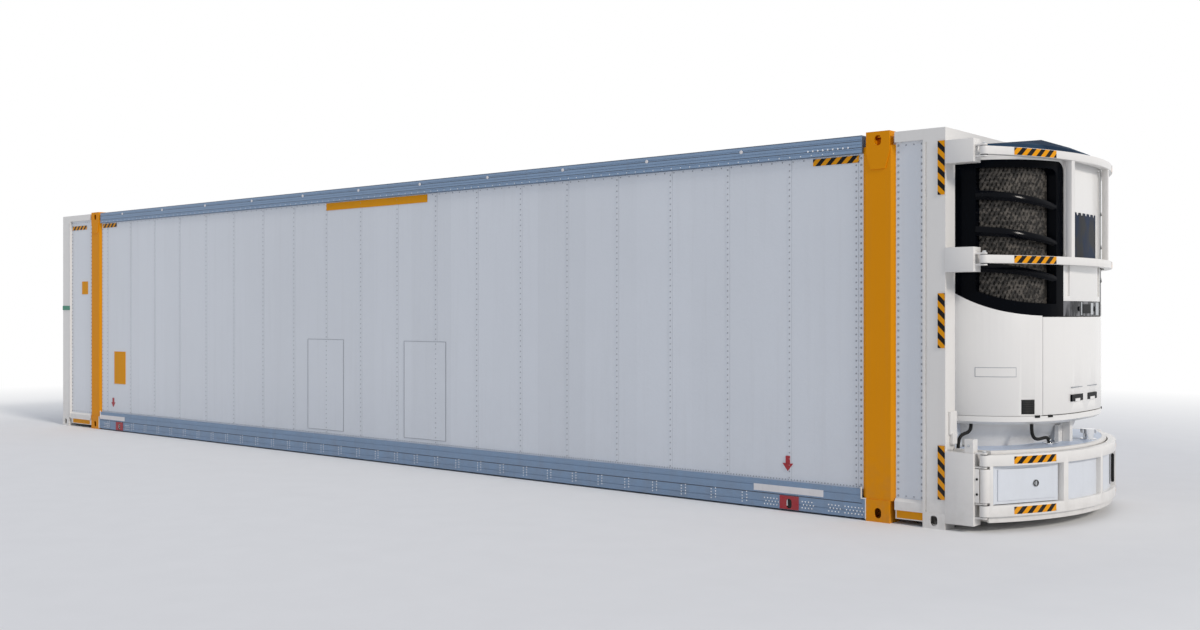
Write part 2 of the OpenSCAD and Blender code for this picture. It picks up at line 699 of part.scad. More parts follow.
module tank_wall() color(white) plate(tank_z + tank_t, lower_top_z) difference() {
    tank_plan(0);
    intersection() {
        tank_plan(-tank_t);
        translate([x_front + tank_back_gap + tank_t, -y_face]) square([nose_reach, body_w]);
    }
}

module tank_bottom() color(white) plate(tank_z, tank_z + tank_t) tank_plan(0);

deck_z = lower_top_z + 4;
deck_top_z = deck_z + deck_t;

module tank_deck() color("lightsteelblue") {
    plate(lower_top_z, deck_z) tank_plan(0);
    plate(deck_z, deck_top_z) tank_plan(deck_overhang);
}

cap_x = x_nose - 189;
cap_y = 244;

module filler_cap() color("silver") translate([cap_x, cap_y, deck_top_z]) {
    cylinder(h = 8, r = 62, $fn = 48);
    cylinder(h = 50, r = 40, $fn = 48);
    translate([0, 0, 50]) cylinder(h = 34, r = 54, $fn = 48);
    for (a = [0:60:300]) rotate(a) translate([50, -8, 52]) cube([12, 16, 28]);
}

// Refrigeration unit

// Centre of the unit's plan behind the front posts' faces
unit_setback = 249;
x_unit = x_front - unit_setback;
unit_a = unit_reach + unit_setback;
shell_t = 80;
panel_seam = 6;
lip_top_z = unit_z + lip_h;
front_half_w = 400;
crown_h = 50;
crown_r = 80;

// Point on the unit's rounded plan, at an angle from the nose, set in by tx and ty
function unit_point(a, tx, ty) = [x_unit + (unit_a - tx) * pow(cos(a), 2 / unit_power),
    (unit_half_w - ty) * sign(a) * pow(abs(sin(a)), 2 / unit_power)];

module unit_plan(tx, ty) intersection() {
    polygon([for (i = [-24:24]) unit_point(90 * i / 24, tx, ty)]);
    translate([x_wall, -y_face]) square([x_nose - x_wall, body_w]);
}

module unit_shell(t0, t1) difference() {
    unit_plan(t0, t0);
    unit_plan(t1, t1);
}

module middle(half_w, z0, z1) block([x_front - 60, -half_w, z0], [x_nose + 1, half_w, z1]);

x_bow = x_front + 0.968 * unit_reach;
function cowl_line(x) = cowl_front_z + cowl_rise * pow(max(0, (x_bow - x) / (x_bow - x_front)), 2);

// Everything above the curved top edge of the side cowls, raised by dz
module above_cowl_line(dz) along_y(-y_face, y_face) polygon(concat(
    [for (i = [0:14]) let (x = x_front - 60 + (x_bow - x_front + 60) * i / 14) [x, cowl_line(x) + dz]],
    [[x_nose, cowl_front_z + dz], [x_nose, stack_h], [x_front - 60, stack_h]]));

module unit_core() color("#2a2c30") {
    plate(lip_top_z, cowl_front_z) unit_plan(panel_t, panel_t);
    plate(cowl_front_z, unit_top_z) unit_plan(shell_t, shell_t);
}

module unit_lip() color(white) hull() {
    plate(unit_z + 20, lip_top_z) unit_plan(0, 0);
    plate(unit_z, unit_z + 1) unit_plan(26, 26);
}

// Post and bracket that carry the unit's front, between the deck and the unit
support_x = x_front + 0.758 * unit_reach;
support_w = 60;
belly_front = 200;
belly_side = 80;
belly_taper = 70;

module unit_belly() color(white) {
    hull() {
        plate(unit_z - 40, unit_z) unit_plan(belly_front, belly_side);
        plate(deck_top_z, deck_top_z + 1) unit_plan(belly_front + belly_taper, belly_side + belly_taper / 2);
    }
    block([support_x - support_w / 2, -support_w / 2, deck_top_z],
        [support_x + support_w / 2, support_w / 2, unit_z]);
    block([support_x - support_w, -110, deck_top_z],
        [support_x - support_w / 2, -support_w / 2 - 4, unit_z - 50]);
}

// Square vent low on each side cowl
vent_size = 110;
vent_depth = 12;
vent_turn = 48;
vent_rise = 71;
vent_angle = -42;

module side_cowls() color(white) difference() {
    plate(lip_top_z, stack_h) unit_shell(0, panel_t);
    middle(door_half_w + panel_seam, lip_top_z - 1, stack_h + 1);
    above_cowl_line(0);
    plate(lip_top_z - 1, lip_top_z + 5) unit_shell(-1, 8);
    let (p = unit_point(vent_angle, 0, 0)) translate([p[0], p[1], lip_top_z + vent_rise]) rotate(vent_turn)
        block([-vent_size / 2, -vent_size, -vent_size / 2], [vent_size / 2, vent_depth, vent_size / 2]);
}

window_back = 110;
window_x = x_front + window_back;
window_y = 490;
window_r = 60;
window_drop = 108;
window_top_z = unit_top_z - window_drop;
window_margin = 92;
mesh_t = 12;

// The corner between two straight edges that is left outside a rounding
module corner_piece(r) difference() {
    square(r);
    translate([r, r]) circle(r = r, $fn = 48);
}

// The space of the grille's openings, one on each side, wrapped round the corners
module grille_windows() intersection() {
    above_cowl_line(window_margin);
    both_sides() along_x(window_x, x_nose) difference() {
        translate([window_y, 0]) square([y_face, window_top_z]);
        translate([window_y, window_top_z]) mirror([0, 1, 0]) corner_piece(window_r);
    }
}

// Front view of the white panel between the grilles and of the crown over them
module front_view() {
    crown_z = unit_top_z - crown_h;
    translate([-front_half_w, cowl_front_z]) square([2 * front_half_w, unit_top_z - cowl_front_z]);
    translate([-y_face, crown_z]) square([2 * y_face, crown_h]);
    for (s = [0, 1]) mirror([s, 0, 0]) translate([front_half_w - 1, crown_z + 1]) mirror([0, 1, 0])
        corner_piece(crown_r);
}

module grille_surround() color(black) difference() {
    intersection() {
        plate(cowl_front_z, unit_top_z) unit_shell(0, shell_t);
        above_cowl_line(0);
    }
    along_x(x_front - 60, x_nose) front_view();
    grille_windows();
}

module condenser_mesh() color("dimgray") intersection() {
    plate(cowl_front_z, unit_top_z) unit_shell(shell_t - mesh_t, shell_t);
    grille_windows();
}

// Section of a louvre blade, as shares of its depth and height
blade_section = [[-0.1, 0.3], [-0.06, 0.6], [0.14, 0.92], [0.9, 1], [0.9, 0.4], [0.2, 0]];
// Fall of the blades towards the front, and the share of their height that they lose there
blade_fall = 0.21;
blade_taper = 0.34;
// Angles round the unit's corner that the blades are swept between
blade_angles = [-76, -18];

// Skin swept round the near corner of the unit's plan
module corner_sweep(section, h, a0, a1, n) {
    m = len(section);
    points = [for (i = [0:n]) for (s = section)
        let (p = unit_point(a0 + (a1 - a0) * i / n, s[0] * blade_d, s[0] * blade_d),
            z = h * (1 - blade_taper * i / n)) [p[0], p[1], s[1] * z - z - blade_fall * (unit_half_w - abs(p[1]))]];
    faces = concat([[for (k = [m - 1:-1:0]) k]],
        [for (i = [0:n - 1]) for (k = [0:m - 1])
            let (a = i * m + k, b = i * m + (k + 1) % m) [a, b, b + m, a + m]],
        [[for (k = [0:m - 1]) n * m + k]]);
    polyhedron(points, faces);
}

blade_top = 0.135 * (window_top_z - cowl_front_z);
blade_pitch = (window_top_z - cowl_front_z - blade_top) / (blade_count + 0.55);

module louvre_blades() color(black) intersection() {
    both_sides() for (k = [1:blade_count])
        translate([0, 0, window_top_z - blade_top - (k - 1) * blade_pitch])
            corner_sweep(blade_section, blade_h, blade_angles[0], blade_angles[1], 18);
    both_sides() block([window_x, window_y, cowl_front_z], [x_nose, y_face, unit_top_z]);
}

recess_y = [305, 372];
recess_d = 14;
recess_drop = 57;

module front_panel() color(white) difference() {
    intersection() {
        plate(cowl_front_z + display_h, unit_top_z) unit_shell(0, shell_t);
        along_x(x_front - 60, x_nose) front_view();
    }
    intersection() {
        plate(cowl_front_z + display_h + 40, unit_top_z - recess_drop) unit_shell(-1, recess_d);
        both_sides() block([x_front, recess_y[0], 0], [x_nose, recess_y[1], stack_h]);
    }
}

plate_drop = 420;
plate_h = 355;
plate_z = [unit_top_z - plate_drop - plate_h, unit_top_z - plate_drop];
plate_half_w = 220;

module window_plate() color("#3b4656") intersection() {
    plate(plate_z[0], plate_z[1]) unit_shell(-5, 0);
    middle(plate_half_w, 0, stack_h);
    along_x(x_front, x_nose) difference() {
        translate([-plate_half_w, plate_z[0]]) square([2 * plate_half_w, plate_z[1] - plate_z[0]]);
        for (k = [0:4]) translate([(k - 2) * plate_half_w / 2.5, plate_z[1]]) circle(r = 22, $fn = 24);
    }
}

module display_strip() color("#5b6470") intersection() {
    plate(cowl_front_z, cowl_front_z + display_h) unit_shell(4, shell_t);
    middle(front_half_w, 0, stack_h);
}

cover_h = 150;
cover_top_w = 600;
cover_top_l = 0.6 * unit_reach;
cover_inset = 20;

module top_cover() color(black) intersection() {
    hull() {
        plate(unit_top_z, unit_top_z + 1) unit_plan(cover_inset, cover_inset);
        plate(unit_top_z + cover_h / 2 - 10, unit_top_z + cover_h / 2)
            unit_plan(3 * cover_inset, 3 * cover_inset);
        block([x_front, -cover_top_w / 2, unit_top_z + cover_h - 10],
            [x_front + cover_top_l, cover_top_w / 2, unit_top_z + cover_h]);
    }
    block([x_front + 1, -y_face, unit_top_z], [x_nose, y_face, stack_h]);
}

handle_y = 172;
handle_w = 110;
handle_z = [928, 972];
handle_depth = 22;

module front_door() color(white) difference() {
    intersection() {
        plate(lip_top_z + panel_seam, door_top_z) unit_shell(0, panel_t);
        middle(door_half_w, 0, stack_h);
    }
    both_sides() block([x_front + unit_reach - handle_depth, handle_y - handle_w / 2, handle_z[0]],
        [x_nose, handle_y + handle_w / 2, handle_z[1]]);
}

module door_handles() color(black) both_sides() difference() {
    block([x_front + unit_reach - handle_depth, handle_y - handle_w / 2, handle_z[0]],
        [x_front + unit_reach - 4, handle_y + handle_w / 2, handle_z[1]]);
    block([x_front + unit_reach - handle_depth + 4, handle_y - handle_w / 2 + 6, handle_z[0] + 5],
        [x_nose, handle_y + handle_w / 2 - 6, handle_z[1] - 16]);
}

// Hoses between the unit and the deck
hose_r = 13;
// Heights of the hoses' bends between the deck and the unit
hose_top_z = unit_z - end_l - 0.3;
hose_foot_z = deck_top_z + end_l + 0.3;
hose_rise = hose_top_z - hose_foot_z;
drain_y = 70 - unit_half_w;
drain_end_y = 14 - tank_half_w;
drain_route = bezier([[x_front + 60, drain_y, hose_top_z],
    [x_front + 60, drain_y, hose_foot_z + 0.34 * hose_rise],
    [x_front + 26, drain_end_y, hose_top_z - 0.05 * hose_rise], [x_front + 26, drain_end_y, hose_foot_z]], 22);
supply_x = x_front + 0.73 * unit_reach;
supply_y = -0.69 * unit_half_w;
supply_end_y = -330;
supply_route = bezier([[supply_x, supply_y, hose_top_z],
    [supply_x, supply_y - 10, hose_foot_z - 0.3 * hose_rise],
    [supply_x - 6, supply_end_y, hose_top_z - 0.27 * hose_rise], [supply_x - 6, supply_end_y, hose_foot_z]], 26);

module hoses() color(black) {
    hose(drain_route, hose_r);
    hose(supply_route, hose_r);
}

lift_posts();
lower_lift_castings();
upper_lift_castings();
bolster_beams();
side_wall_left();
side_wall_right();
top_rails();
bottom_rails();
bay_walls();
bay_rails();
roof();
floor();
crossmembers();
front_posts();
front_beams();
front_wall();
end_castings();
rear_posts();
rear_beams();
rear_doors();
lock_rods();
door_hinges();
restraint_plates();
guard_brackets();
tank_wall();
tank_bottom();
tank_deck();
filler_cap();
hoses();
unit_core();
unit_belly();
unit_lip();
side_cowls();
grille_surround();
condenser_mesh();
louvre_blades();
front_panel();
window_plate();
display_strip();
top_cover();
front_door();
door_handles();
upper_guard();
lower_guard();
guard_panels();
locker_door();
ring_latch();
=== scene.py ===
"""Refrigerated shipping container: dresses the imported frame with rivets, seams, tapes, fittings and finishes."""

import json
import logging
import math
from collections.abc import Callable, Iterator
from contextlib import contextmanager
from dataclasses import dataclass
from enum import Enum

import bpy
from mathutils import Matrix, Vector


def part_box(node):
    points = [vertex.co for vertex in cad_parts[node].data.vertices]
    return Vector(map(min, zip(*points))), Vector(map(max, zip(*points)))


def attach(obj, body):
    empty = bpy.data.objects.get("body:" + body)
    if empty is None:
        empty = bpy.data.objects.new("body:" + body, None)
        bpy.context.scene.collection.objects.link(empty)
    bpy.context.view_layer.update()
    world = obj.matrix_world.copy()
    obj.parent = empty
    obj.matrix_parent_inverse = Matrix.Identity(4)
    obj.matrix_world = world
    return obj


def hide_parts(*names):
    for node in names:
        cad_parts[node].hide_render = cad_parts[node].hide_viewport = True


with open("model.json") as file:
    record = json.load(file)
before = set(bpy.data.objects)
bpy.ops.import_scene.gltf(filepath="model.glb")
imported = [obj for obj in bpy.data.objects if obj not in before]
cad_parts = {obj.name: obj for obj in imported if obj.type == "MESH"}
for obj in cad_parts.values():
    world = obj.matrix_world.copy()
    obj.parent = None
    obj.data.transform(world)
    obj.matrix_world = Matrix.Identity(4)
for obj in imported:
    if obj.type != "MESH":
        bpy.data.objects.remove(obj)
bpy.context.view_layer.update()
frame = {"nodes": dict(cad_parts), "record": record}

LOG = logging.getLogger("container")
Point = tuple[float, float, float]
Pair = tuple[float, float]
Colour = tuple[float, float, float]
Row = tuple[int, Point]
Object = bpy.types.Object
Socket = bpy.types.NodeSocket
Tree = bpy.types.NodeTree


class Side(Enum):
    """Side of the container, as the sign of its Y."""

    NEAR = -1
    FAR = 1


class Bow(Enum):
    """Guard whose bowed bar a piece follows, as the node that it is part of."""

    UPPER = "upper_guard"
    LOWER = "lower_guard"


class Rivet(Enum):
    """Radius and height of each kind of rivet head."""

    SEAM = (0.007, 0.0032)
    EDGE = (0.009, 0.005)
    ROW = (0.006, 0.0028)
    RAIL = (0.006, 0.0026)
    FINE = (0.005, 0.0022)
    STUD = (0.008, 0.003)


# Places that the frame gives, in metres

POST_LOW, POST_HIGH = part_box("lift_posts")
WALL_LOW, WALL_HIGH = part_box("side_wall_left")
RAIL_LOW, RAIL_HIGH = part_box("bottom_rails")
TOP_LOW, TOP_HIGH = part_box("top_rails")
BAY_LOW, BAY_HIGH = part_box("bay_walls")
FRONT_LOW, FRONT_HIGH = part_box("front_posts")
REAR_LOW, REAR_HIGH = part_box("rear_posts")
DECK_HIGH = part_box("tank_deck")[1]
DOOR_LOW, DOOR_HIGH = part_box("rear_doors")
ROOF_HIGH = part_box("roof")[1]
CASTING_LOW, CASTING_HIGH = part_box("lower_lift_castings")
LIP_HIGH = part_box("unit_lip")[1]
NOSE_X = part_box("lower_guard")[1].x
FRONT_DOOR_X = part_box("front_door")[1].x
X_FRONT = FRONT_HIGH.x
Y_FACE = CASTING_HIGH.y
Y_WALL = WALL_HIGH.y
Y_RAIL = RAIL_HIGH.y
CASTING_L = 0.2
X_LIFT_FRONT = CASTING_HIGH.x - CASTING_L / 2
X_LIFT_REAR = CASTING_LOW.x + CASTING_L / 2
POST_W = 0.276
SPAN = (POST_LOW.x + POST_W, POST_HIGH.x - POST_W)
JOINTS = {joint["name"]: joint for joint in frame["record"]["behaviour"]["joints"]}
HINGE = Vector(JOINTS["lower_guard_swing"]["pos_m"])
BAR = 0.06
UNIT_BACK = X_FRONT - 0.249
UNIT_REACH = LIP_HIGH.x - UNIT_BACK
UNIT_HALF = 1.0
UNIT_POWER = 2.7
NEARWARD = (0, -1, 0)
REARWARD = (-1, 0, 0)
UP = (0, 0, 1)
SUNK = 0.001


# Modelling by hand


def clear_selection() -> None:
    """Deselects every object."""
    bpy.ops.object.select_all(action="DESELECT")


def focus(*objs: Object) -> None:
    """Selects only some objects, the first one active.

    Args:
        objs: The objects.
    """
    clear_selection()
    for obj in objs:
        obj.select_set(True)
    bpy.context.view_layer.objects.active = objs[0]


def settle(obj: Object) -> Object:
    """Applies an object's place, turn and scale to its mesh.

    Args:
        obj: The object to settle.

    Returns:
        The same object, at the origin.
    """
    focus(obj)
    bpy.ops.object.transform_apply(location=True, rotation=True, scale=True)
    return obj


@contextmanager
def editing(obj: Object) -> Iterator[None]:
    """Opens an object in edit mode with all of it selected, and goes back to object mode at the end.

    Args:
        obj: The object to edit.

    Yields:
        Nothing.
    """
    focus(obj)
    bpy.ops.object.mode_set(mode="EDIT")
    bpy.ops.mesh.select_all(action="SELECT")
    yield
    bpy.ops.object.mode_set(mode="OBJECT")


def modify(obj: Object, kind: str, **settings: object) -> None:
    """Adds a modifier to an object and applies it.

    Args:
        obj: The object.
        kind: Type of the modifier.
        settings: Its properties.
    """
    focus(obj)
    modifier = obj.modifiers.new(kind.lower(), kind)
    for key, value in settings.items():
        setattr(modifier, key, value)
    bpy.ops.object.modifier_apply(modifier=modifier.name)


def smooth(obj: Object, angle: float = 35.0) -> Object:
    """Shades an object smooth below an angle.

    Args:
        obj: The object.
        angle: The angle in degrees.

    Returns:
        The same object.
    """
    focus(obj)
    bpy.ops.object.shade_smooth_by_angle(angle=math.radians(angle))
    return obj


def block(low: Point, high: Point, bevel: float = 0.002, segments: int = 2) -> Object:
    """Makes a box with rounded edges.

    Args:
        low: Lowest corner.
        high: Highest corner.
        bevel: Size of the rounded edges.
        segments: Steps of each rounded edge.

    Returns:
        The box.
    """
    a, b = Vector(low), Vector(high)
    clear_selection()
    bpy.ops.mesh.primitive_cube_add(size=1, location=(a + b) / 2, scale=b - a)
    obj = settle(bpy.context.object)
    if bevel:
        with editing(obj):
            bpy.ops.mesh.bevel(offset=bevel, segments=segments, affect="EDGES")
    return obj


def turned(obj: Object, at: Point, facing: Point) -> Object:
    """Places a piece that was made at the origin, facing up.

    Args:
        obj: The piece.
        at: Where its origin goes.
        facing: Where its upper side looks.

    Returns:
        The piece, settled.
    """
    obj.rotation_mode = "QUATERNION"
    obj.rotation_quaternion = Vector(facing).to_track_quat("Z", "Y")
    obj.location = at
    return settle(obj)


def disc(at: Point, facing: Point, radius: float, height: float, sides: int = 24, bevel: float = 0.001) -> Object:
    """Makes a round boss or bolt head with a rounded rim.

    Args:
        at: Middle of its foot.
        facing: Where its flat top looks.
        radius: Its radius.
        height: Its height.
        sides: Number of its sides, 6 for a nut.
        bevel: Size of the rounded rim.

    Returns:
        The boss.
    """
    clear_selection()
    bpy.ops.mesh.primitive_cylinder_add(vertices=sides, radius=radius, depth=height, location=(0, 0, height / 2))
    obj = settle(bpy.context.object)
    with editing(obj):
        bpy.ops.mesh.bevel(offset=bevel, segments=2, affect="EDGES")
    return smooth(turned(obj, at, facing))


def rivets(at: Point, kind: Rivet, *rows: Row, facing: Point = NEARWARD) -> Object:
    """Makes a domed rivet head and repeats it in rows.

    Args:
        at: Middle of the first one's foot.
        kind: Their size.
        rows: Count and step of each row, the later ones repeating the earlier.
        facing: Where they look.

    Returns:
        The rivet heads.
    """
    radius, height = kind.value
    clear_selection()
    bpy.ops.mesh.primitive_uv_sphere_add(segments=8, ring_count=4, radius=radius)
    obj = bpy.context.object
    with editing(obj):
        bpy.ops.mesh.bisect(plane_co=(0, 0, 0), plane_no=UP, use_fill=True, clear_inner=True)
        bpy.ops.mesh.select_all(action="SELECT")
        bpy.ops.transform.resize(value=(1, 1, height / radius))
    return repeat(turned(obj, at, facing), *rows)


def repeat(obj: Object, *rows: Row) -> Object:
    """Repeats a piece in rows.

    Args:
        obj: The piece.
        rows: Count and step of each row, the later ones repeating the earlier.

    Returns:
        The piece with its copies.
    """
    for count, step in rows:
        modify(obj, "ARRAY", use_relative_offset=False, use_constant_offset=True, count=count,
               constant_offset_displace=step)
    return obj


def spread(length: float, pitch: float, axis: int = 0) -> Row:
    """Spreads copies evenly over a length.

    Args:
        length: The length.
        pitch: Their least distance.
        axis: Number of the axis that they follow.

    Returns:
        Their count and the step between them.
    """
    steps = max(int(length / pitch), 1)
    return steps + 1, tuple(length / steps if i == axis else 0 for i in range(3))


def join(parts: list[Object], name: str) -> Object:
    """Joins pieces into one object.

    Args:
        parts: The pieces, at least one.
        name: Name of the object.

    Returns:
        The object.
    """
    focus(*parts)
    if len(parts) > 1:
        bpy.ops.object.join()
    obj = bpy.context.view_layer.objects.active
    obj.name = obj.data.name = name
    return obj


def mirrored(obj: Object) -> Object:
    """Copies a near piece to the far side of the container.

    Args:
        obj: The piece to copy.

    Returns:
        The copy, with its own mesh and its faces outwards.
    """
    twin = obj.copy()
    twin.data = obj.data.copy()
    bpy.context.scene.collection.objects.link(twin)
    twin.scale = (1, -1, 1)
    twin.name = twin.data.name = obj.name.replace("near", "far")
    with editing(settle(twin)):
        bpy.ops.mesh.normals_make_consistent(inside=False)
    return twin


def unit_skin(angle: float, z: float, inset: float = 0.0) -> tuple[Vector, Vector]:
    """Finds a place on the refrigeration unit's rounded plan.

    Args:
        angle: Angle from the nose, in degrees, below 0 on the near side.
        z: Height of the place.
        inset: Depth behind the skin.

    Returns:
        The place and the direction outwards.
    """
    def place(turn: float) -> Vector:
        """Finds the skin's place at an angle in degrees."""
        a = math.radians(turn)
        return Vector((UNIT_BACK + UNIT_REACH * abs(math.cos(a)) ** (2 / UNIT_POWER),
                       math.copysign(UNIT_HALF * abs(math.sin(a)) ** (2 / UNIT_POWER), a), z))
    ahead = place(angle + 0.3) - place(angle - 0.3)
    out = Vector((ahead.y, -ahead.x, 0)).normalized()
    return place(angle) - out * inset, out


def guard_skin(y: float, bow: Bow, z: float, depth: float = 0.0) -> tuple[Vector, Vector]:
    """Finds a place on a guard's bowed bar.

    Args:
        y: Place across the container.
        bow: The guard.
        z: Height of the place.
        depth: Depth behind the bar's outer face.

    Returns:
        The place and the direction outwards.
    """
    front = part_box(bow.value)[1].x
    sag = front - BAR / 2 - HINGE.x
    radius = (HINGE.y ** 2 + sag * sag) / (2 * sag) + BAR / 2
    out = Vector((math.sqrt(radius ** 2 - y * y), y, 0)) / radius
    return Vector((front - radius, 0, z)) + out * (radius - depth), out


def along(skin: Callable[..., tuple[Vector, Vector]], ends: Pair, steps: int,
          *args: object) -> tuple[list[Vector], list[Vector]]:
    """Collects places and outward directions along a skin.

    Args:
        skin: Finds a place on the skin and its direction outwards.
        ends: First and last position.
        steps: Steps between them.
        args: What else the skin asks for.

    Returns:
        The places and the directions.
    """
    first, last = ends
    pairs = [skin(first + (last - first) * i / steps, *args) for i in range(steps + 1)]
    return [p for p, _ in pairs], [o for _, o in pairs]


def ribbon(path: list[Point], width: float, out: list[Point], lift: float = 0.0004, thick: float = 0.0008) -> Object:
    """Lays a thin strip along a path, with a UV map in metres.

    Args:
        path: Points along the middle of the strip.
        width: Its width, square to the path.
        out: Direction away from the surface at each point.
        lift: Height of its underside over the path.
        thick: Its thickness.

    Returns:
        The strip.
    """
    clear_selection()
    n = len(path)
    bpy.ops.mesh.primitive_grid_add(x_subdivisions=n - 1, y_subdivisions=1, size=1)
    obj = bpy.context.object
    ends = [Vector(p) for p in path]
    sides, far = [], [0.0]
    for i, direction in enumerate(out):
        ahead = ends[min(i + 1, n - 1)] - ends[max(i - 1, 0)]
        sides.append(Vector(direction).cross(ahead).normalized() * width / 2)
        far.append(far[-1] + (ends[min(i + 1, n - 1)] - ends[i]).length)
    place = {}
    for v in obj.data.vertices:
        i = round((v.co.x + 0.5) * (n - 1))
        sign = 1 if v.co.y > 0 else -1
        place[v.index] = (far[i], sign * width / 2)
        v.co = ends[i] + sides[i] * sign + Vector(out[i]) * (lift + thick)
    layer = obj.data.uv_layers.active.data
    for loop in obj.data.loops:
        layer[loop.index].uv = place[loop.vertex_index]
    if obj.data.polygons[0].normal.dot(Vector(out[0])) < 0:
        obj.data.flip_normals()
    modify(obj, "SOLIDIFY", thickness=thick, offset=-1)
    return settle(obj)


def refined(node: str, bevel: float = 0.0, angle: float = 30.0) -> Object:
    """Copies a node, joins its triangles, rounds its edges and smooths it.

    Args:
        node: Name of the node.
        bevel: Size of the rounded edges, 0 for none.
        angle: Edges sharper than this many degrees stay as edges.

    Returns:
        The copy, which stands for the node.
    """
    obj = bpy.data.objects.new("shaped_" + node, frame["nodes"][node].data.copy())
    bpy.context.scene.collection.objects.link(obj)
    with editing(obj):
        bpy.ops.mesh.remove_doubles(threshold=2e-5)
        bpy.ops.mesh.dissolve_limited(angle_limit=math.radians(0.3))
    if obj.data.has_custom_normals:
        focus(obj)
        bpy.ops.mesh.customdata_custom_splitnormals_clear()
    if bevel:
        modify(obj, "BEVEL", width=bevel, segments=2, limit_method="ANGLE", angle_limit=math.radians(angle),
               miter_outer="MITER_ARC")
    smooth(obj, angle)
    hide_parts(node)
    return obj


# Finishes


class Wiring:
    """Adds nodes to a tree and links them."""

    def __init__(self, tree: Tree) -> None:
        """Keeps the tree that the nodes go into."""
        self.tree = tree

    def fill(self, inputs: bpy.types.bpy_prop_collection, values: dict[str | int, object]) -> None:
        """Links inputs to sockets or gives them plain values.

        Args:
            inputs: The inputs of a node.
            values: Socket or plain value for each of them.
        """
        for key, value in values.items():
            if isinstance(value, Socket):
                self.tree.links.new(value, inputs[key])
            else:
                inputs[key].default_value = value

    def add(self, kind: str, links: dict[str | int, object] | None = None, **settings: object) -> bpy.types.Node:
        """Adds a node.

        Args:
            kind: Node type without its prefix.
            links: Socket or plain value for each input.
            settings: Properties of the node.

        Returns:
            The new node.
        """
        node = self.tree.nodes.new("ShaderNode" + kind)
        for key, value in settings.items():
            setattr(node, key, value)
        self.fill(node.inputs, links or {})
        return node

    def math(self, kind: str, a: object, b: object = 0.0, clamp: bool = False) -> Socket:
        """Adds a Math node and returns its output."""
        return self.add("Math", {0: a, 1: b}, operation=kind, use_clamp=clamp).outputs[0]

    def noise(self, vector: object, scale: float, detail: float = 3.0, rough: float = 0.5) -> Socket:
        """Adds a noise texture and returns its value."""
        return self.add("TexNoise", {"Vector": vector, "Scale": scale, "Detail": detail, "Roughness": rough}).outputs[0]

    def scaled(self, vector: object, scale: object) -> Socket:
        """Scales a colour or vector by a value and returns the result."""
        return self.add("VectorMath", {0: vector, "Scale": scale}, operation="SCALE").outputs[0]

    def band(self, value: object, low: float, high: float) -> Socket:
        """Maps a value to 0 at low and 1 at high, clamped."""
        return self.add("MapRange", {"Value": value, "From Min": low, "From Max": high}).outputs["Result"]

    def mix(self, share: object, a: object, b: object) -> Socket:
        """Mixes two colours and returns the result."""
        return self.add("Mix", {0: share, 6: a, 7: b}, data_type="RGBA").outputs[2]

    def finish(self, **outputs: object) -> None:
        """Links sockets to the group's outputs."""
        self.fill(self.tree.nodes["out"].inputs, outputs)


def new_group(name: str, inputs: list[tuple[str, str, object]], outputs: list[tuple[str, str]]) -> Wiring:
    """Makes an empty shader node group with named sockets.

    Args:
        name: Name of the group.
        inputs: Name, kind and first value of each input.
        outputs: Name and kind of each output.

    Returns:
        The wiring of the group, which has its input and output nodes.
    """
    tree = bpy.data.node_groups.new(name, "ShaderNodeTree")
    for label, kind, value in inputs:
        socket = tree.interface.new_socket(name=label, in_out="INPUT", socket_type="NodeSocket" + kind)
        if value is not None:
            socket.default_value = value
    for label, kind in outputs:
        tree.interface.new_socket(name=label, in_out="OUTPUT", socket_type="NodeSocket" + kind)
    tree.nodes.new("NodeGroupInput").name = "in"
    tree.nodes.new("NodeGroupOutput").name = "out"
    return Wiring(tree)


def new_material(name: str) -> tuple[bpy.types.Material, Wiring, bpy.types.bpy_prop_collection]:
    """Makes a material with nodes.

    Args:
        name: Name of the material.

    Returns:
        The material, its wiring and the inputs of its shader.
    """
    material = bpy.data.materials.new(name)
    material.use_nodes = True
    return material, Wiring(material.node_tree), material.node_tree.nodes["Principled BSDF"].inputs


def rgba(colour: Colour) -> tuple[float, float, float, float]:
    """Adds a full alpha to a colour."""
    return (*colour, 1.0)


def weather_group() -> Tree:
    """Makes the group that drifts a colour, streaks it with rain dirt and lays road dust low down.

    Returns:
        The group.
    """
    w = new_group("weather", [("Vector", "Vector", None), ("Colour", "Color", (1, 1, 1, 1)),
                              ("Dirt", "Color", (0.2, 0.17, 0.14, 1)), ("Drift", "Float", 0.05),
                              ("Streaks", "Float", 0.1), ("Dust", "Float", 0.1), ("Gloss", "Float", 0.3)],
                  [("Colour", "Color"), ("Roughness", "Float"), ("Height", "Float")])
    get = w.tree.nodes["in"].outputs
    vector = get["Vector"]
    drift = w.noise(vector, 1.3, 4)
    tone = w.math("ADD", w.math("MULTIPLY", w.math("SUBTRACT", drift, 0.5), get["Drift"]), 1.0)
    long = w.add("Mapping", {"Vector": vector, "Scale": (14, 14, 0.5)}).outputs[0]
    rain = w.band(w.noise(long, 1.0, 5, 0.65), 0.52, 0.78)
    up = w.add("SeparateXYZ", {0: vector}).outputs["Z"]
    low = w.math("POWER", w.band(up, 1.1, 0.0), 2.5)
    patch = w.band(w.noise(vector, 9.0, 6, 0.7), 0.35, 0.75)
    share = w.math("ADD", w.math("MULTIPLY", rain, get["Streaks"]),
                   w.math("MULTIPLY", w.math("MULTIPLY", low, patch), get["Dust"]), clamp=True)
    fine = w.noise(vector, 160.0, 2)
    rough = w.math("ADD", get["Gloss"], w.math("ADD", w.math("MULTIPLY", share, 0.5),
                                               w.math("MULTIPLY", w.math("SUBTRACT", fine, 0.5), 0.08)), clamp=True)
    w.finish(Colour=w.mix(share, w.scaled(get["Colour"], tone), get["Dirt"]), Roughness=rough,
             Height=w.math("ADD", fine, drift))
    return w.tree


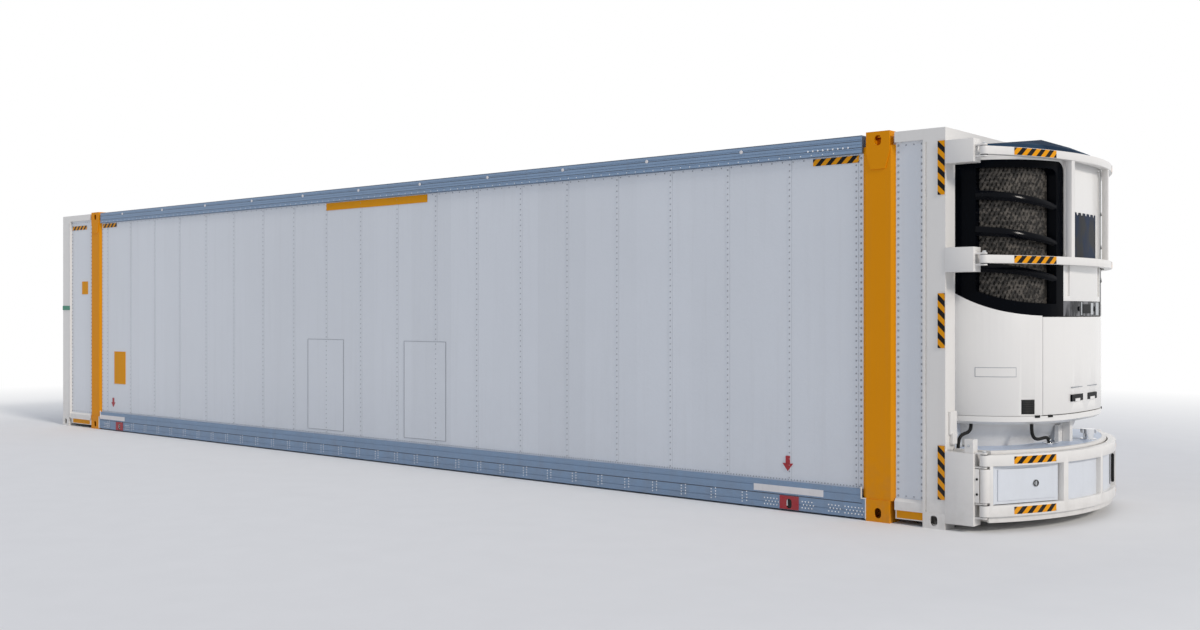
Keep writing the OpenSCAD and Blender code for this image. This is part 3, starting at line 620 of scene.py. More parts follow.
def stripe_group() -> Tree:
    """Makes the group that lays slanting black stripes over a tape's UV map.

    Returns:
        The group.
    """
    w = new_group("stripes", [("Vector", "Vector", None), ("Pitch", "Float", 0.09), ("Slant", "Float", 1.0)],
                  [("Mask", "Float")])
    get = w.tree.nodes["in"].outputs
    parts = w.add("SeparateXYZ", {0: get["Vector"]}).outputs
    far = w.math("ADD", parts["X"], w.math("MULTIPLY", parts["Y"], get["Slant"]))
    wave = w.math("FRACT", w.math("DIVIDE", far, get["Pitch"]))
    w.finish(Mask=w.math("GREATER_THAN", wave, 0.5))
    return w.tree


@dataclass(frozen=True)
class Finish:
    """Paint, plastic or metal with its own wear.

    The colour is as seen in plain light, except where the list of finishes says that shade, a highlight or a
    reflection is painted into it. Drift, streaks and dust are shares from 0 to 1, and relief is a height in metres.
    Sheets give a panel a change of tone every so many metres along the container. A second colour shows in
    patches, whose count per metre is given for each axis.
    """

    name: str
    colour: Colour
    rough: float = 0.35
    metal: float = 0.0
    coat: float = 0.0
    drift: float = 0.06
    streaks: float = 0.08
    dust: float = 0.15
    dirt: Colour = (0.20, 0.17, 0.14)
    relief: float = 0.0002
    grain: float = 160.0
    sheets: float = 0.0
    specular: float = 0.5
    second: Colour | None = None
    patches: Point = (3.0, 3.0, 3.0)

    def build(self, weather: Tree) -> bpy.types.Material:
        """Makes the material.

        Args:
            weather: Group that drifts and dirties a colour.

        Returns:
            The material.
        """
        material, w, shader = new_material(self.name)
        where = w.add("TexCoord").outputs["Object"]
        group = w.add("Group", {"Vector": where, "Colour": rgba(self.colour), "Dirt": rgba(self.dirt),
                                "Drift": self.drift, "Streaks": self.streaks, "Dust": self.dust,
                                "Gloss": self.rough}, node_tree=weather)
        colour = group.outputs["Colour"]
        height = w.noise(where, self.grain, 3)
        if self.sheets:
            x = w.add("SeparateXYZ", {0: where}).outputs["X"]
            index = w.math("FLOOR", w.math("DIVIDE", w.math("ADD", x, 0.2), self.sheets))
            tone = w.add("TexWhiteNoise", {"W": index}, noise_dimensions="1D").outputs["Value"]
            colour = w.scaled(colour, w.math("ADD", w.math("MULTIPLY", tone, 0.05), 0.975))
            height = w.math("ADD", height, w.math("MULTIPLY", w.noise(where, 1.7, 1), 6.0))
        if self.second:
            place = w.add("Mapping", {"Vector": where, "Scale": self.patches}).outputs[0]
            colour = w.mix(w.band(w.noise(place, 1.0, 2), 0.47, 0.58), colour, rgba(self.second))
        bump = w.add("Bump", {"Height": height, "Strength": 0.6, "Distance": self.relief}).outputs[0]
        w.fill(shader, {"Base Color": colour, "Roughness": group.outputs["Roughness"], "Metallic": self.metal,
                        "Specular IOR Level": self.specular, "Coat Weight": self.coat, "Coat Roughness": 0.08,
                        "Normal": bump})
        return material


@dataclass(frozen=True)
class Tape:
    """Yellow warning tape with slanting black stripes."""

    name: str = "tape"
    slant: float = -1.0
    pitch: float = 0.094
    yellow: Colour = (0.82, 0.33, 0.003)
    black: Colour = (0.006, 0.006, 0.008)

    def build(self, stripes: Tree, weather: Tree) -> bpy.types.Material:
        """Makes the material.

        Args:
            stripes: Group that lays the stripes.
            weather: Group that drifts and dirties a colour.

        Returns:
            The material.
        """
        material, w, shader = new_material(self.name)
        where = w.add("TexCoord").outputs
        mask = w.add("Group", {"Vector": where["UV"], "Pitch": self.pitch, "Slant": self.slant}, node_tree=stripes)
        colour = w.mix(mask.outputs[0], rgba(self.yellow), rgba(self.black))
        group = w.add("Group", {"Vector": where["Object"], "Colour": colour, "Drift": 0.15, "Streaks": 0.1,
                                "Dust": 0.2, "Gloss": 0.35}, node_tree=weather).outputs
        w.fill(shader, {"Base Color": group["Colour"], "Roughness": group["Roughness"], "Specular IOR Level": 0.12})
        return material


FINISHES = [
    Finish("white_paint", (0.77, 0.75, 0.72), 0.32, coat=0.2, streaks=0.05, dust=0.22),
    # Painted shade: the sheet is darker and bluer than the white paint, as the long sides look in sky-lit shade.
    Finish("panel_sheet", (0.67, 0.70, 0.745), 0.30, coat=0.3, streaks=0.06, dust=0.12, relief=0.0012, grain=40.0,
           sheets=0.605),
    Finish("yellow_paint", (0.78, 0.29, 0.0), 0.5, drift=0.12, dust=0.3, specular=0.12),
    # Painted reflection: the aluminium's base colour is tinted blue for the sky that it reflects.
    Finish("rail_aluminium", (0.205, 0.30, 0.44), 0.42, metal=0.35, drift=0.15, streaks=0.12, dust=0.3),
    Finish("grey_steel", (0.16, 0.17, 0.19), 0.6, drift=0.2, streaks=0.2, dust=0.4),
    Finish("galvanised_steel", (0.52, 0.54, 0.56), 0.38, metal=0.8, drift=0.25),
    Finish("red_paint", (0.36, 0.008, 0.02), 0.4, drift=0.15, dust=0.3),
    Finish("deck_paint", (0.50, 0.58, 0.72), drift=0.12, streaks=0.0, dust=0.3),
    Finish("chrome_fitting", (0.72, 0.73, 0.75), 0.14, metal=1.0, drift=0.1, streaks=0.0, dust=0.05),
    Finish("black_rubber", (0.012, 0.012, 0.012), 0.75, drift=0.3, dust=0.1, specular=0.2),
    Finish("black_steel", (0.010, 0.010, 0.011), 0.5, dust=0.05, specular=0.25),
    Finish("black_plastic", (0.0010, 0.0016, 0.0032), 0.2, streaks=0.003, dust=0.003, relief=0.0, specular=0.035),
    Finish("blade_gloss", (0.0015, 0.002, 0.004), 0.14, coat=0.04, streaks=0.003, dust=0.003, relief=0.0,
           specular=0.06),
    # Painted reflection: the black cover is tinted blue, with lighter blue patches, for the sky's sheen on it.
    Finish("cover_shell", (0.018, 0.035, 0.065), 0.7, streaks=0.02, dust=0.0, drift=0.4, relief=0.0, specular=0.02,
           second=(0.035, 0.07, 0.12), patches=(1.5, 1.5, 6.0)),
    Finish("cowl_plastic", (0.78, 0.765, 0.74), 0.25, coat=0.25, streaks=0.02, dust=0.1, relief=0.0001),
    # Painted highlight: the lighter brown second colour, in small patches, stands in for glints on the quilted wire.
    Finish("mesh_steel", (0.020, 0.018, 0.016), 0.42, metal=0.3, drift=0.6, streaks=0.01, dust=0.01, specular=0.4,
           second=(0.085, 0.075, 0.065), patches=(26.0, 26.0, 34.0)),
    Finish("window_tint", (0.012, 0.024, 0.055), 0.2, drift=0.3, streaks=0.0, dust=0.0, relief=0.0, specular=0.02,
           second=(0.030, 0.032, 0.036), patches=(0.0, 4.0, 2.6)),
    # Painted reflection: the grey second colour, in patches, stands in for reflections on the glass.
    Finish("display_glass", (0.012, 0.013, 0.016), 0.2, drift=0.2, streaks=0.0, relief=0.0, specular=0.12,
           second=(0.16, 0.16, 0.17), patches=(0.0, 9.0, 5.0)),
    # Partly painted shade: the heads are darker than the sheet for their own grey and for the shade round each dome.
    Finish("rivet", (0.34, 0.36, 0.39), 0.4, drift=0.1, streaks=0.1, dust=0.2),
    Finish("bright_rivet", (0.80, 0.82, 0.85), metal=0.3, drift=0.1, streaks=0.1, dust=0.2),
    Finish("lap_shade", (0.47, 0.50, 0.54), 0.5, drift=0.2, streaks=0.1, dust=0.3),
    Finish("seam", (0.27, 0.29, 0.32), 0.6, drift=0.2, streaks=0.1, dust=0.3),
    # Painted shade for the rails' grooves and edges.
    Finish("rail_line", (0.05, 0.06, 0.08), 0.6, drift=0.2, streaks=0.1, dust=0.3),
    Finish("label_yellow", (0.76, 0.31, 0.002), 0.5, streaks=0.1, specular=0.12),
    Finish("label_white", (0.76, 0.74, 0.74), 0.4, streaks=0.1),
    Finish("label_green", (0.01, 0.22, 0.13), 0.4),
]


class Palette:
    """Every material of the object, by the name of its finish."""

    def __init__(self) -> None:
        """Builds the shared groups and the materials."""
        weather = weather_group()
        stripes = stripe_group()
        self.made = {f.name: f.build(weather) for f in FINISHES}
        self.made["tape"] = Tape().build(stripes, weather)

    def dress(self, obj: Object, finish: str) -> None:
        """Gives an object one finish."""
        obj.data.materials.clear()
        obj.data.materials.append(self.made[finish])

    def dress_node(self, name: str, finish: str) -> None:
        """Gives a node one finish, in the material slots that it has.

        Args:
            name: Name of the node.
            finish: Name of the finish.
        """
        node = frame["nodes"][name]
        if not node.material_slots:
            node.data.materials.append(None)
        for place in node.material_slots:
            place.material = self.made[finish]


NODE_SLOT = {s["node"]: s["material_slot"] for s in frame["record"]["subparts"]}


# Sub-assemblies


@dataclass
class SubAssembly:
    """Part of the container that is built and dressed on its own."""

    palette: Palette
    body: str = "container"

    def keep(self, name: str, parts: list[Object], finish: str, body: str | None = None) -> None:
        """Joins finished parts into one piece, dresses it, fixes it to its body and logs it.

        Args:
            name: Name of the piece.
            parts: Its parts.
            finish: Name of its finish.
            body: Body that it moves with, or the assembly's own.
        """
        obj = join(parts, name)
        self.palette.dress(obj, finish)
        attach(obj, body or self.body)
        LOG.info("%s: %d faces, %s", obj.name, len(obj.data.polygons), finish)

    def keep_both(self, name: str, parts: list[Object], finish: str) -> None:
        """Keeps a near piece and its twin on the far side.

        Args:
            name: Name of the near piece, with the word near in it.
            parts: Its parts.
            finish: Name of the finish of both.
        """
        near = join(parts, name)
        far = mirrored(near)
        self.keep(name, [near], finish)
        self.keep(far.name, [far], finish)

    def refine(self, node: str, bevel: float = 0.0, body: str | None = None, finish: str | None = None) -> None:
        """Keeps a smoothed copy of a node in its place, in the node's own finish or another."""
        self.keep("shaped_" + node, [refined(node, bevel)], finish or NODE_SLOT[node], body)


@dataclass
class SideSheets(SubAssembly):
    """Riveted long-side sheets: seams with painted shadow lines, rivet columns and rows, painted shadow round two cover
    plates.
    """

    pitch: float = 0.05
    sheet: float = 0.605
    first_seam: float = 0.2
    seams: int = 20
    lap_w: float = 0.036
    lap_t: float = 0.0012
    line: float = 0.004
    margins: Pair = (0.03, 0.035)
    edge_in: float = 0.02
    row_in: float = 0.17
    covers: tuple[Pair, ...] = ((-7.19, -6.55), (-5.53, -4.89))
    cover_z: Pair = (0.295, 1.305)

    def build(self) -> None:
        """Builds the seams and rivets of the near side and copies them to the far side."""
        y, foot, top = -Y_WALL, WALL_LOW.z + SUNK, WALL_HIGH.z - SUNK
        low, high = WALL_LOW.z + self.margins[0], WALL_HIGH.z - self.margins[1]
        sheets, column = (self.seams, (-self.sheet, 0, 0)), spread(high - low, self.pitch, 2)
        x0 = X_LIFT_FRONT - self.first_seam
        edge = x0 + self.lap_w / 2
        lap = block((x0 - self.lap_w / 2, y - self.lap_t, foot), (edge, y + SUNK, top), 0.0005, 1)
        self.keep_both("seams_near", [repeat(lap, sheets)], "panel_sheet")
        # Painted shadow: a darker strip beside each lap's edge, where the lap casts its thin shadow.
        shade = block((edge, y - 0.0008, foot), (edge + self.line, y + SUNK, top), 0)
        self.keep_both("seam_lines_near", [repeat(shade, sheets)], "lap_shade")
        # Painted shadow round the cover plates, drawn in the dark seam finish.
        self.keep_both("cover_outlines_near", self.cover_shadow_outlines(), "seam")
        seams = rivets((x0, y - self.lap_t, low), Rivet.SEAM, column, sheets)
        self.keep_both("rivets_seams_near", [seams], "rivet")
        edges = [rivets((x, y, low), Rivet.EDGE, column) for x in (SPAN[1] - self.edge_in, SPAN[0] + self.edge_in)]
        length = X_LIFT_FRONT - X_LIFT_REAR - 2 * self.row_in
        for z, pitch in ((WALL_LOW.z + 0.014, 0.028), (WALL_HIGH.z - 0.016, 0.1)):
            edges.append(rivets((X_LIFT_REAR + self.row_in, y, z), Rivet.ROW, spread(length, pitch)))
        self.keep_both("rivets_edges_near", edges, "rivet")

    def cover_shadow_outlines(self) -> list[Object]:
        """Builds painted shadow: thin dark outlines round the two flat cover plates, where their edges cast shade.

        Returns:
            Their bars.
        """
        t, (low, high), made = self.line, self.cover_z, []
        for x0, x1 in self.covers:
            a, b = X_LIFT_FRONT + x0, X_LIFT_FRONT + x1
            for left, foot, right, top in ((a - t, low, a, high), (b, low, b + t, high), (a - t, high, b + t, high + t),
                                           (a - t, low - t, b + t, low)):
                made.append(block((left, -Y_WALL - t, foot), (right, -Y_WALL + SUNK, top), 0))
        return made


@dataclass
class BaySheets(SubAssembly):
    """Riveted sheets of the short bays between the lift posts and the corner posts."""

    pitch: float = 0.05
    edge_in: float = 0.02
    margins: Pair = (0.02, 0.025)

    def build(self) -> None:
        """Builds the rivets of both near bays and copies them to the far side."""
        low, high = BAY_LOW.z + self.margins[0], BAY_HIGH.z - self.margins[1]
        parts = []
        for a, b in ((POST_HIGH.x, FRONT_LOW.x), (REAR_HIGH.x, POST_LOW.x)):
            left, right = a + self.edge_in, b - self.edge_in
            for x in (left, right):
                parts.append(rivets((x, -Y_WALL, low), Rivet.EDGE, spread(high - low, self.pitch, 2)))
            for z in (low, high):
                parts.append(rivets((left, -Y_WALL, z), Rivet.RAIL, spread(b - a - 2 * self.edge_in, self.pitch)))
        self.keep_both("rivets_bays_near", parts, "rivet")


@dataclass
class RailTrim(SubAssembly):
    """Rivets and small fittings of the top and bottom rails."""

    margin: float = 0.06
    cluster_in: float = 0.145
    cluster_end: float = 1.07
    cluster_pitch: float = 0.315
    cluster_w: float = 0.045
    small: float = 0.025
    patch_pitch: float = 0.03
    patches: tuple[tuple[float, int], ...] = (
        (X_LIFT_FRONT - 0.968, 5), (X_LIFT_FRONT - 0.627, 4), (X_LIFT_FRONT - 0.385, 4), (X_LIFT_FRONT - 0.210, 6),
        (X_LIFT_REAR + 0.31, 5), (X_LIFT_REAR + 0.85, 4))
    beads: tuple[tuple[float, ...], ...] = ((-0.009, 0.0, 0.17, 0.255), (-0.009, 0.038, 0.166, 0.175),
                                            (0.029, 0.038, 0.01, 0.166))
    restraint_w: float = 0.176
    shadow_line_z: tuple[float, ...] = (TOP_LOW.z + 0.001, TOP_LOW.z + 0.044, TOP_LOW.z + 0.094, TOP_HIGH.z - 0.006, 0.128)
    lights: int = 11

    def ends(self) -> None:
        """Builds the rails' ends beside the lift castings, with a pale bead, and painted shade in the restraints'
        recesses.
        """
        y, ends, beads, dark, lips = -Y_RAIL, [], [], [], []
        for x, way in ((RAIL_HIGH.x, 1), (RAIL_LOW.x, -1)):
            a, b = sorted((x - 0.001 * way, x + 0.0385 * way))
            ends.append(block((a, y + 0.001, 0.016), (b, y + 0.05, 0.168)))
            for x0, x1, z0, z1 in self.beads:
                a, b = sorted((x + x0 * way, x + x1 * way))
                beads.append(block((a, -Y_FACE - 0.0008, z0), (b, -Y_FACE + 0.008, z1), 0.0015))
        low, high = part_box("restraint_plates")
        # Painted shade: a dark sheet over each restraint's recess.
        for x in (low.x + self.restraint_w / 2, high.x - self.restraint_w / 2):
            dark.append(block((x - 0.03, y - 0.0012, 0.022), (x + 0.03, y + SUNK, 0.106), 0.0005, 1))
            lips.append(block((x - 0.026, y - 0.0035, 0.045), (x - 0.013, y, 0.098)))
        self.keep_both("rail_ends_near", ends, "rail_aluminium")
        self.keep_both("post_beads_near", beads, "white_paint")
        self.keep_both("restraint_recesses_near", dark, "black_steel")
        self.keep_both("restraint_lips_near", lips, "galvanised_steel")

    def bottom(self) -> None:
        """Builds the bottom rail's clusters over the crossmembers and its dense patches near the castings."""
        x0 = SPAN[0] + self.margin + self.cluster_in
        count = int((X_LIFT_FRONT - self.cluster_end - x0) / self.cluster_pitch) + 1
        rows = (count, (self.cluster_pitch, 0, 0)), (4, (0, 0, self.small))
        parts = [rivets((x0 + dx, -Y_RAIL, z), Rivet.RAIL, *rows) for dx, z in ((0, 0.040), (self.cluster_w, 0.050))]
        for middle, columns in self.patches:
            for k in range(3):
                x = middle - (columns - 1) * self.patch_pitch / 2 + 0.014 * (k % 2)
                row = (columns, (self.patch_pitch, 0, 0))
                parts.append(rivets((x, -Y_RAIL, 0.042 + self.small * k), Rivet.RAIL, row))
        self.keep_both("rivets_bottom_rail_near", parts, "bright_rivet")

    def build(self) -> None:
        """Builds the bottom rail's trim, then the top rail's rivets, painted shadow lines of the rails' grooves and
        lights.
        """
        self.bottom()
        self.ends()
        y, x0, x1 = -Y_RAIL, SPAN[0] + self.margin, SPAN[1] - self.margin
        row = rivets((x0, y, TOP_LOW.z + 0.018), Rivet.FINE, (int((x1 - x0) / 0.1), (0.1, 0, 0)))
        studs = [rivets((x1 - 0.42 + 0.045 * i, y, TOP_LOW.z + 0.052), Rivet.STUD) for i in range(9)]
        self.keep_both("rivets_top_rail_near", [row, *studs], "bright_rivet")
        # Painted shade: dark lines where the rails' ribs, grooves and edges fall into shadow.
        lines = [block((SPAN[0], y - 0.0012, z), (SPAN[1], y + SUNK, z + 0.004), 0) for z in self.shadow_line_z]
        self.keep_both("rail_lines_near", lines, "rail_line")
        light = disc((x0 + 0.53, y, TOP_HIGH.z - 0.04), NEARWARD, 0.016, 0.005, 12)
        self.keep_both("lights_top_rail_near", [repeat(light, (self.lights, (1.0, 0, 0)))], "label_white")


@dataclass
class Labels(SubAssembly):
    """Bare plates, arrows and warning tapes on the sides and posts."""

    tape_w: float = 0.055
    tape_z: float = 2.802
    over_laps: float = 0.0054
    flat: float = 0.0012
    bay_y: float = 0.017 - Y_RAIL
    bay_z: Pair = (0.048, 0.106)
    arrow_z: Pair = (0.38, 0.446)

    def plates(self) -> None:
        """Builds the thin bare plates of the near side, proud of the laps and rivets where they lie on a wall."""
        x = X_LIFT_FRONT
        for name, (x0, x1), (z0, z1), y, finish in (
                ("roof_note", (x - 6.85, x - 5.17), (2.752, 2.832), -Y_WALL, "label_yellow"),
                ("rear_note", (x - 11.51, x - 11.22), (0.64, 1.08), -Y_WALL, "label_yellow"),
                ("front_restraint", (x - 1.133, x - 0.478), (0.145, 0.2), -Y_RAIL, "label_white"),
                ("rear_restraint", (x - 11.86, x - 11.2), (0.145, 0.2), -Y_RAIL, "label_white"),
                ("rear_bay", (x - 12.40, x - 12.24), (1.866, 2.045), -Y_WALL, "label_yellow"),
                ("rear_post", (REAR_LOW.x + 0.001, REAR_HIGH.x - 0.001), (1.645, 1.705), -Y_FACE, "label_green"),
                ("front_bay", (POST_HIGH.x + 0.01, FRONT_LOW.x - 0.01), self.bay_z, self.bay_y, "label_yellow"),
                ("rear_bay_strip", (REAR_HIGH.x + 0.05, POST_LOW.x - 0.05), self.bay_z, self.bay_y, "label_yellow")):
            lift = self.over_laps if y == -Y_WALL else self.flat
            self.keep("plate_" + name, [block((x0, y - lift, z0), (x1, y + 0.0005, z1), 0.0005, 1)], finish)

    def arrow(self, name: str, x: float) -> None:
        """Keeps a red arrow that points down at a restraint plate.

        Args:
            name: Name of the arrow.
            x: Its middle along the container.
        """
        low, high = self.arrow_z
        stem = block((x - 0.02, -Y_WALL - 0.0056, low), (x + 0.02, -Y_WALL - 0.0008, high), 0.0004, 1)
        clear_selection()
        bpy.ops.mesh.primitive_cylinder_add(vertices=3, radius=0.056, depth=0.0048, location=(0, 0, 0))
        head = bpy.context.object
        head.scale, head.rotation_euler = (1.0, 0.74, 1.0), (-math.pi / 2, 0, 0)
        head.location = (x, -Y_WALL - 0.0032, low - 0.0157)
        self.keep(name, [stem, settle(head)], "red_paint")

    def tape(self, start: Point, end: Point, lift: float = 0.0004) -> Object:
        """Lays a straight tape on the near side.

        Args:
            start: Middle of its first end.
            end: Middle of its last end.
            lift: Height of its underside over the surface.

        Returns:
            The tape.
        """
        path = [tuple(p + (q - p) * i / 4 for p, q in zip(start, end)) for i in range(5)]
        return ribbon(path, self.tape_w, [NEARWARD] * 5, lift)

    def build(self) -> None:
        """Builds every plate, arrow and tape."""
        x = X_LIFT_FRONT
        self.plates()
        self.arrow("arrow_front", x - 0.82)
        self.arrow("arrow_rear", x - 11.54)
        post_x = X_FRONT - self.tape_w / 2 - 0.002
        posts = [self.tape((post_x, -Y_FACE, z0), (post_x, -Y_FACE, z1))
                 for z0, z1 in ((2.48, 2.88), (1.344, 1.75), (0.222, 0.622))]
        self.keep_both("tapes_front_post_near", posts, "tape")
        sides = [self.tape((x0, -Y_WALL, self.tape_z), (x1, -Y_WALL, self.tape_z), 0.0045)
                 for x0, x1 in ((x - 0.584, x - 0.175), (X_LIFT_REAR + 0.165, X_LIFT_REAR + 0.53),
                                (REAR_HIGH.x + 0.03, POST_LOW.x - 0.145))]
        self.keep_both("tapes_side_near", sides, "tape")


@dataclass
class NoseSkin(SubAssembly):
    """Smoothed skins of the refrigeration unit, its cover and the tank."""

    edge: float = 0.003

    def build(self) -> None:
        """Smooths every curved node of the nose."""
        for node in ("side_cowls", "front_door", "front_panel"):
            self.refine(node, self.edge)
        for node in ("unit_lip", "unit_belly", "grille_surround", "display_strip", "window_plate",
                     "condenser_mesh", "tank_wall", "tank_deck"):
            self.refine(node)
        self.refine("louvre_blades", finish="blade_gloss")
        self.refine("top_cover", finish="cover_shell")


@dataclass
class MeshRelief(SubAssembly):
    """Quilted wire mesh behind the louvre blades, wrapped round both corners of the unit."""

    inset: float = 0.0668
    cell: float = 0.016
    columns: int = 64
    relief: float = 0.011
    angles: Pair = (-70.0, -26.0)
    wire: float = 0.0015

    def build(self) -> None:
        """Builds the near mesh and copies it to the far side."""
        low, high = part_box("condenser_mesh")
        z0, z1 = low.z + 0.004, high.z - 0.004
        n, rows = self.columns, int((z1 - z0) / self.cell)
        a0, a1 = self.angles
        clear_selection()
        bpy.ops.mesh.primitive_grid_add(x_subdivisions=n, y_subdivisions=rows, size=1)
        obj = bpy.context.object
        for v in obj.data.vertices:
            i, j = round((v.co.x + 0.5) * n), round((v.co.y + 0.5) * rows)
            peak = i % 2 == 1 and (j + i // 2 * 2) % 4 == 1
            deep = self.inset - (self.relief if peak else 0.0)
            v.co, _ = unit_skin(a0 + (a1 - a0) * i / n, z0 + (z1 - z0) * j / rows, deep)
        modify(obj, "SOLIDIFY", thickness=self.wire, offset=1)
        self.keep_both("mesh_relief_near", [settle(obj)], "mesh_steel")


@dataclass
class NoseFittings(SubAssembly):
    """Small fittings of the unit and the deck: vent, bare badge, clips, controls, clamps and bolts."""

    vent_angle: float = -42.0
    vent_z: float = 0.901
    vent_out: Point = (0.743, -0.669, 0)
    badge: Pair = (-71.9, -49.2)
    badge_z: float = 1.161
    clips: Pair = (-36, -27)
    rim_half: float = 1.152
    rim_h: float = 0.011
    grips: tuple[Pair, ...] = ((-0.30, -0.06), (0.04, 0.25))
    hose_foot: Pair = (0.425, -0.33)
    side_top: float = 0.58
    bolt_x: float = 0.144

    def wrap(self, ends: Pair, z: float, width: float, lift: float, thick: float) -> Object:
        """Lays a level strip on the unit's skin between two angles."""
        path, out = along(unit_skin, ends, 16, z)
        return ribbon(path, width, out, lift, thick)

    def vent(self) -> None:
        """Builds the square vent and its slats in each cowl's pocket."""
        face, out = unit_skin(self.vent_angle, self.vent_z)
        parts = [block((-0.0545, -0.0545, 0), (0.0545, 0.0545, 0.012), 0.005)]
        for i in range(5):
            parts.append(block((-0.044, -0.038 + 0.017 * i, 0.010), (0.044, -0.030 + 0.017 * i, 0.015)))
        vent = turned(join(parts, "vent"), face - out * 0.0115, self.vent_out)
        self.keep_both("vent_near", [vent], "black_steel")

    def trims(self) -> None:
        """Builds the bare badge with its outline, the clips and the lines over the handles."""
        a0, a1 = self.badge
        self.keep("badge_edge", [self.wrap(self.badge, self.badge_z, 0.072, 0.0002, 0.0008)], "seam")
        inner = self.wrap((a0 + 0.35, a1 - 0.25), self.badge_z, 0.064, 0.0004, 0.0012)
        self.keep("badge", [inner], "cowl_plastic")
        clips = [self.wrap((a - 1.6, a + 1.6), LIP_HIGH.z - 0.002, 0.018, -0.001, 0.006) for a in self.clips]
        self.keep_both("clips_near", clips, "black_rubber")
        x = FRONT_DOOR_X
        lines = [block((x - 0.012, y - 0.11, 1.03), (x + 0.0008, y + 0.11, 1.035), 0) for y in (-0.18, 0.145)]
        self.keep("handle_lines", lines, "seam")

    def rim(self) -> None:
        """Builds the deck's white rim and border."""
        path, out = along(guard_skin, (-self.rim_half, self.rim_half), 48, Bow.LOWER, DECK_HIGH.z - self.rim_h)
        inner = NOSE_X - DECK_HIGH.x
        path = [p - o * inner for p, o in zip(path, out)]
        self.keep("deck_rim", [ribbon(path, 0.024, out, 0.0002, 0.0015)], "white_paint")
        top = [p - o * 0.016 + Vector((0, 0, self.rim_h)) for p, o in zip(path, out)]
        border = [ribbon(top, 0.032, [UP] * len(top), 0.0002, 0.0012)]
        for side in Side:
            y = side.value * (DECK_HIGH.y - 0.013)
            border.append(block((X_FRONT + 0.005, y - 0.0145, DECK_HIGH.z - 0.022),
                                (path[0].x - 0.001, y + 0.0145, DECK_HIGH.z + 0.0016), 0.0003, 1))
        self.keep("deck_border", border, "white_paint")

    def handles(self) -> None:
        """Builds the wide black grips in the front door, each over a white tab."""
        x, grips, tabs = FRONT_DOOR_X, [], []
        for y0, y1 in self.grips:
            mid = (y0 + y1) / 2
            grips.append(block((x - 0.012, y0, 0.925), (x + 0.003, y1, 0.978), 0.004))
            tabs.append(block((x, mid - 0.05, 0.922), (x + 0.005, mid + 0.05, 0.946), 0.003))
        self.keep("grips", grips, "black_plastic")
        self.keep("grip_tabs", tabs, "cowl_plastic")

    def controls(self) -> None:
        """Builds the display's panel, knobs and bars."""
        low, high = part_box("display_strip")
        x, z = high.x, (low.z + high.z) / 2
        parts = [block((x - 0.006, -0.06, z - 0.036), (x + 0.004, 0.12, z + 0.036), 0.003)]
        for y in (-0.13, 0.21):
            parts.append(disc((x - 0.004, y, z), (1, 0, 0), 0.019, 0.008))
        self.keep("display_controls", parts, "black_plastic")
        bars = [block((x - 0.008, y0, z - half), (x + 0.001, y1, z + half), 0.001)
                for y0, y1, half in ((-0.085, -0.066, 0.05), (0.126, 0.18, 0.046), (0.24, 0.30, 0.05))]
        self.keep("display_bars", bars, "galvanised_steel")

    def deck(self) -> None:
        """Builds the hose's clamp, the bolted block on the bracket and the stepped bracket on the corner post."""
        foot = Vector((X_FRONT + self.hose_foot[0], self.hose_foot[1], DECK_HIGH.z))
        clamp = [disc(foot, UP, 0.032, 0.01), disc(foot + Vector((0, 0, 0.026)), UP, 0.017, 0.012),
                 block(foot + Vector((-0.02, -0.09, 0.012)), foot + Vector((0.0, -0.016, 0.024))),
                 block(foot + Vector((0.0, 0.016, 0.004)), foot + Vector((0.05, 0.07, 0.014)))]
        self.keep("hose_clamp", clamp, "chrome_fitting")
        x, y, z = X_FRONT + self.bolt_x, -Y_FACE + 0.014, self.side_top
        self.keep("bolt_block", [block((x, y, z), (x + 0.07, -Y_FACE + 0.09, z + 0.1), 0.004)], "white_paint")
        self.keep("bolt_block_bolt", [disc((x + 0.035, y, z + 0.055), NEARWARD, 0.011, 0.008, 6)], "galvanised_steel")
        post = block((X_FRONT, -1.19, 0.7), (X_FRONT + 0.018, -1.08, 0.872), 0.004)
        step = block((X_FRONT, -1.17, 0.626), (X_FRONT + 0.03, -1.10, 0.715), 0.006)
        self.keep("post_bracket", [post, step], "white_paint")

    def build(self) -> None:
        """Builds all of the fittings."""
        for make in (self.vent, self.trims, self.rim, self.handles, self.controls, self.deck):
            make()


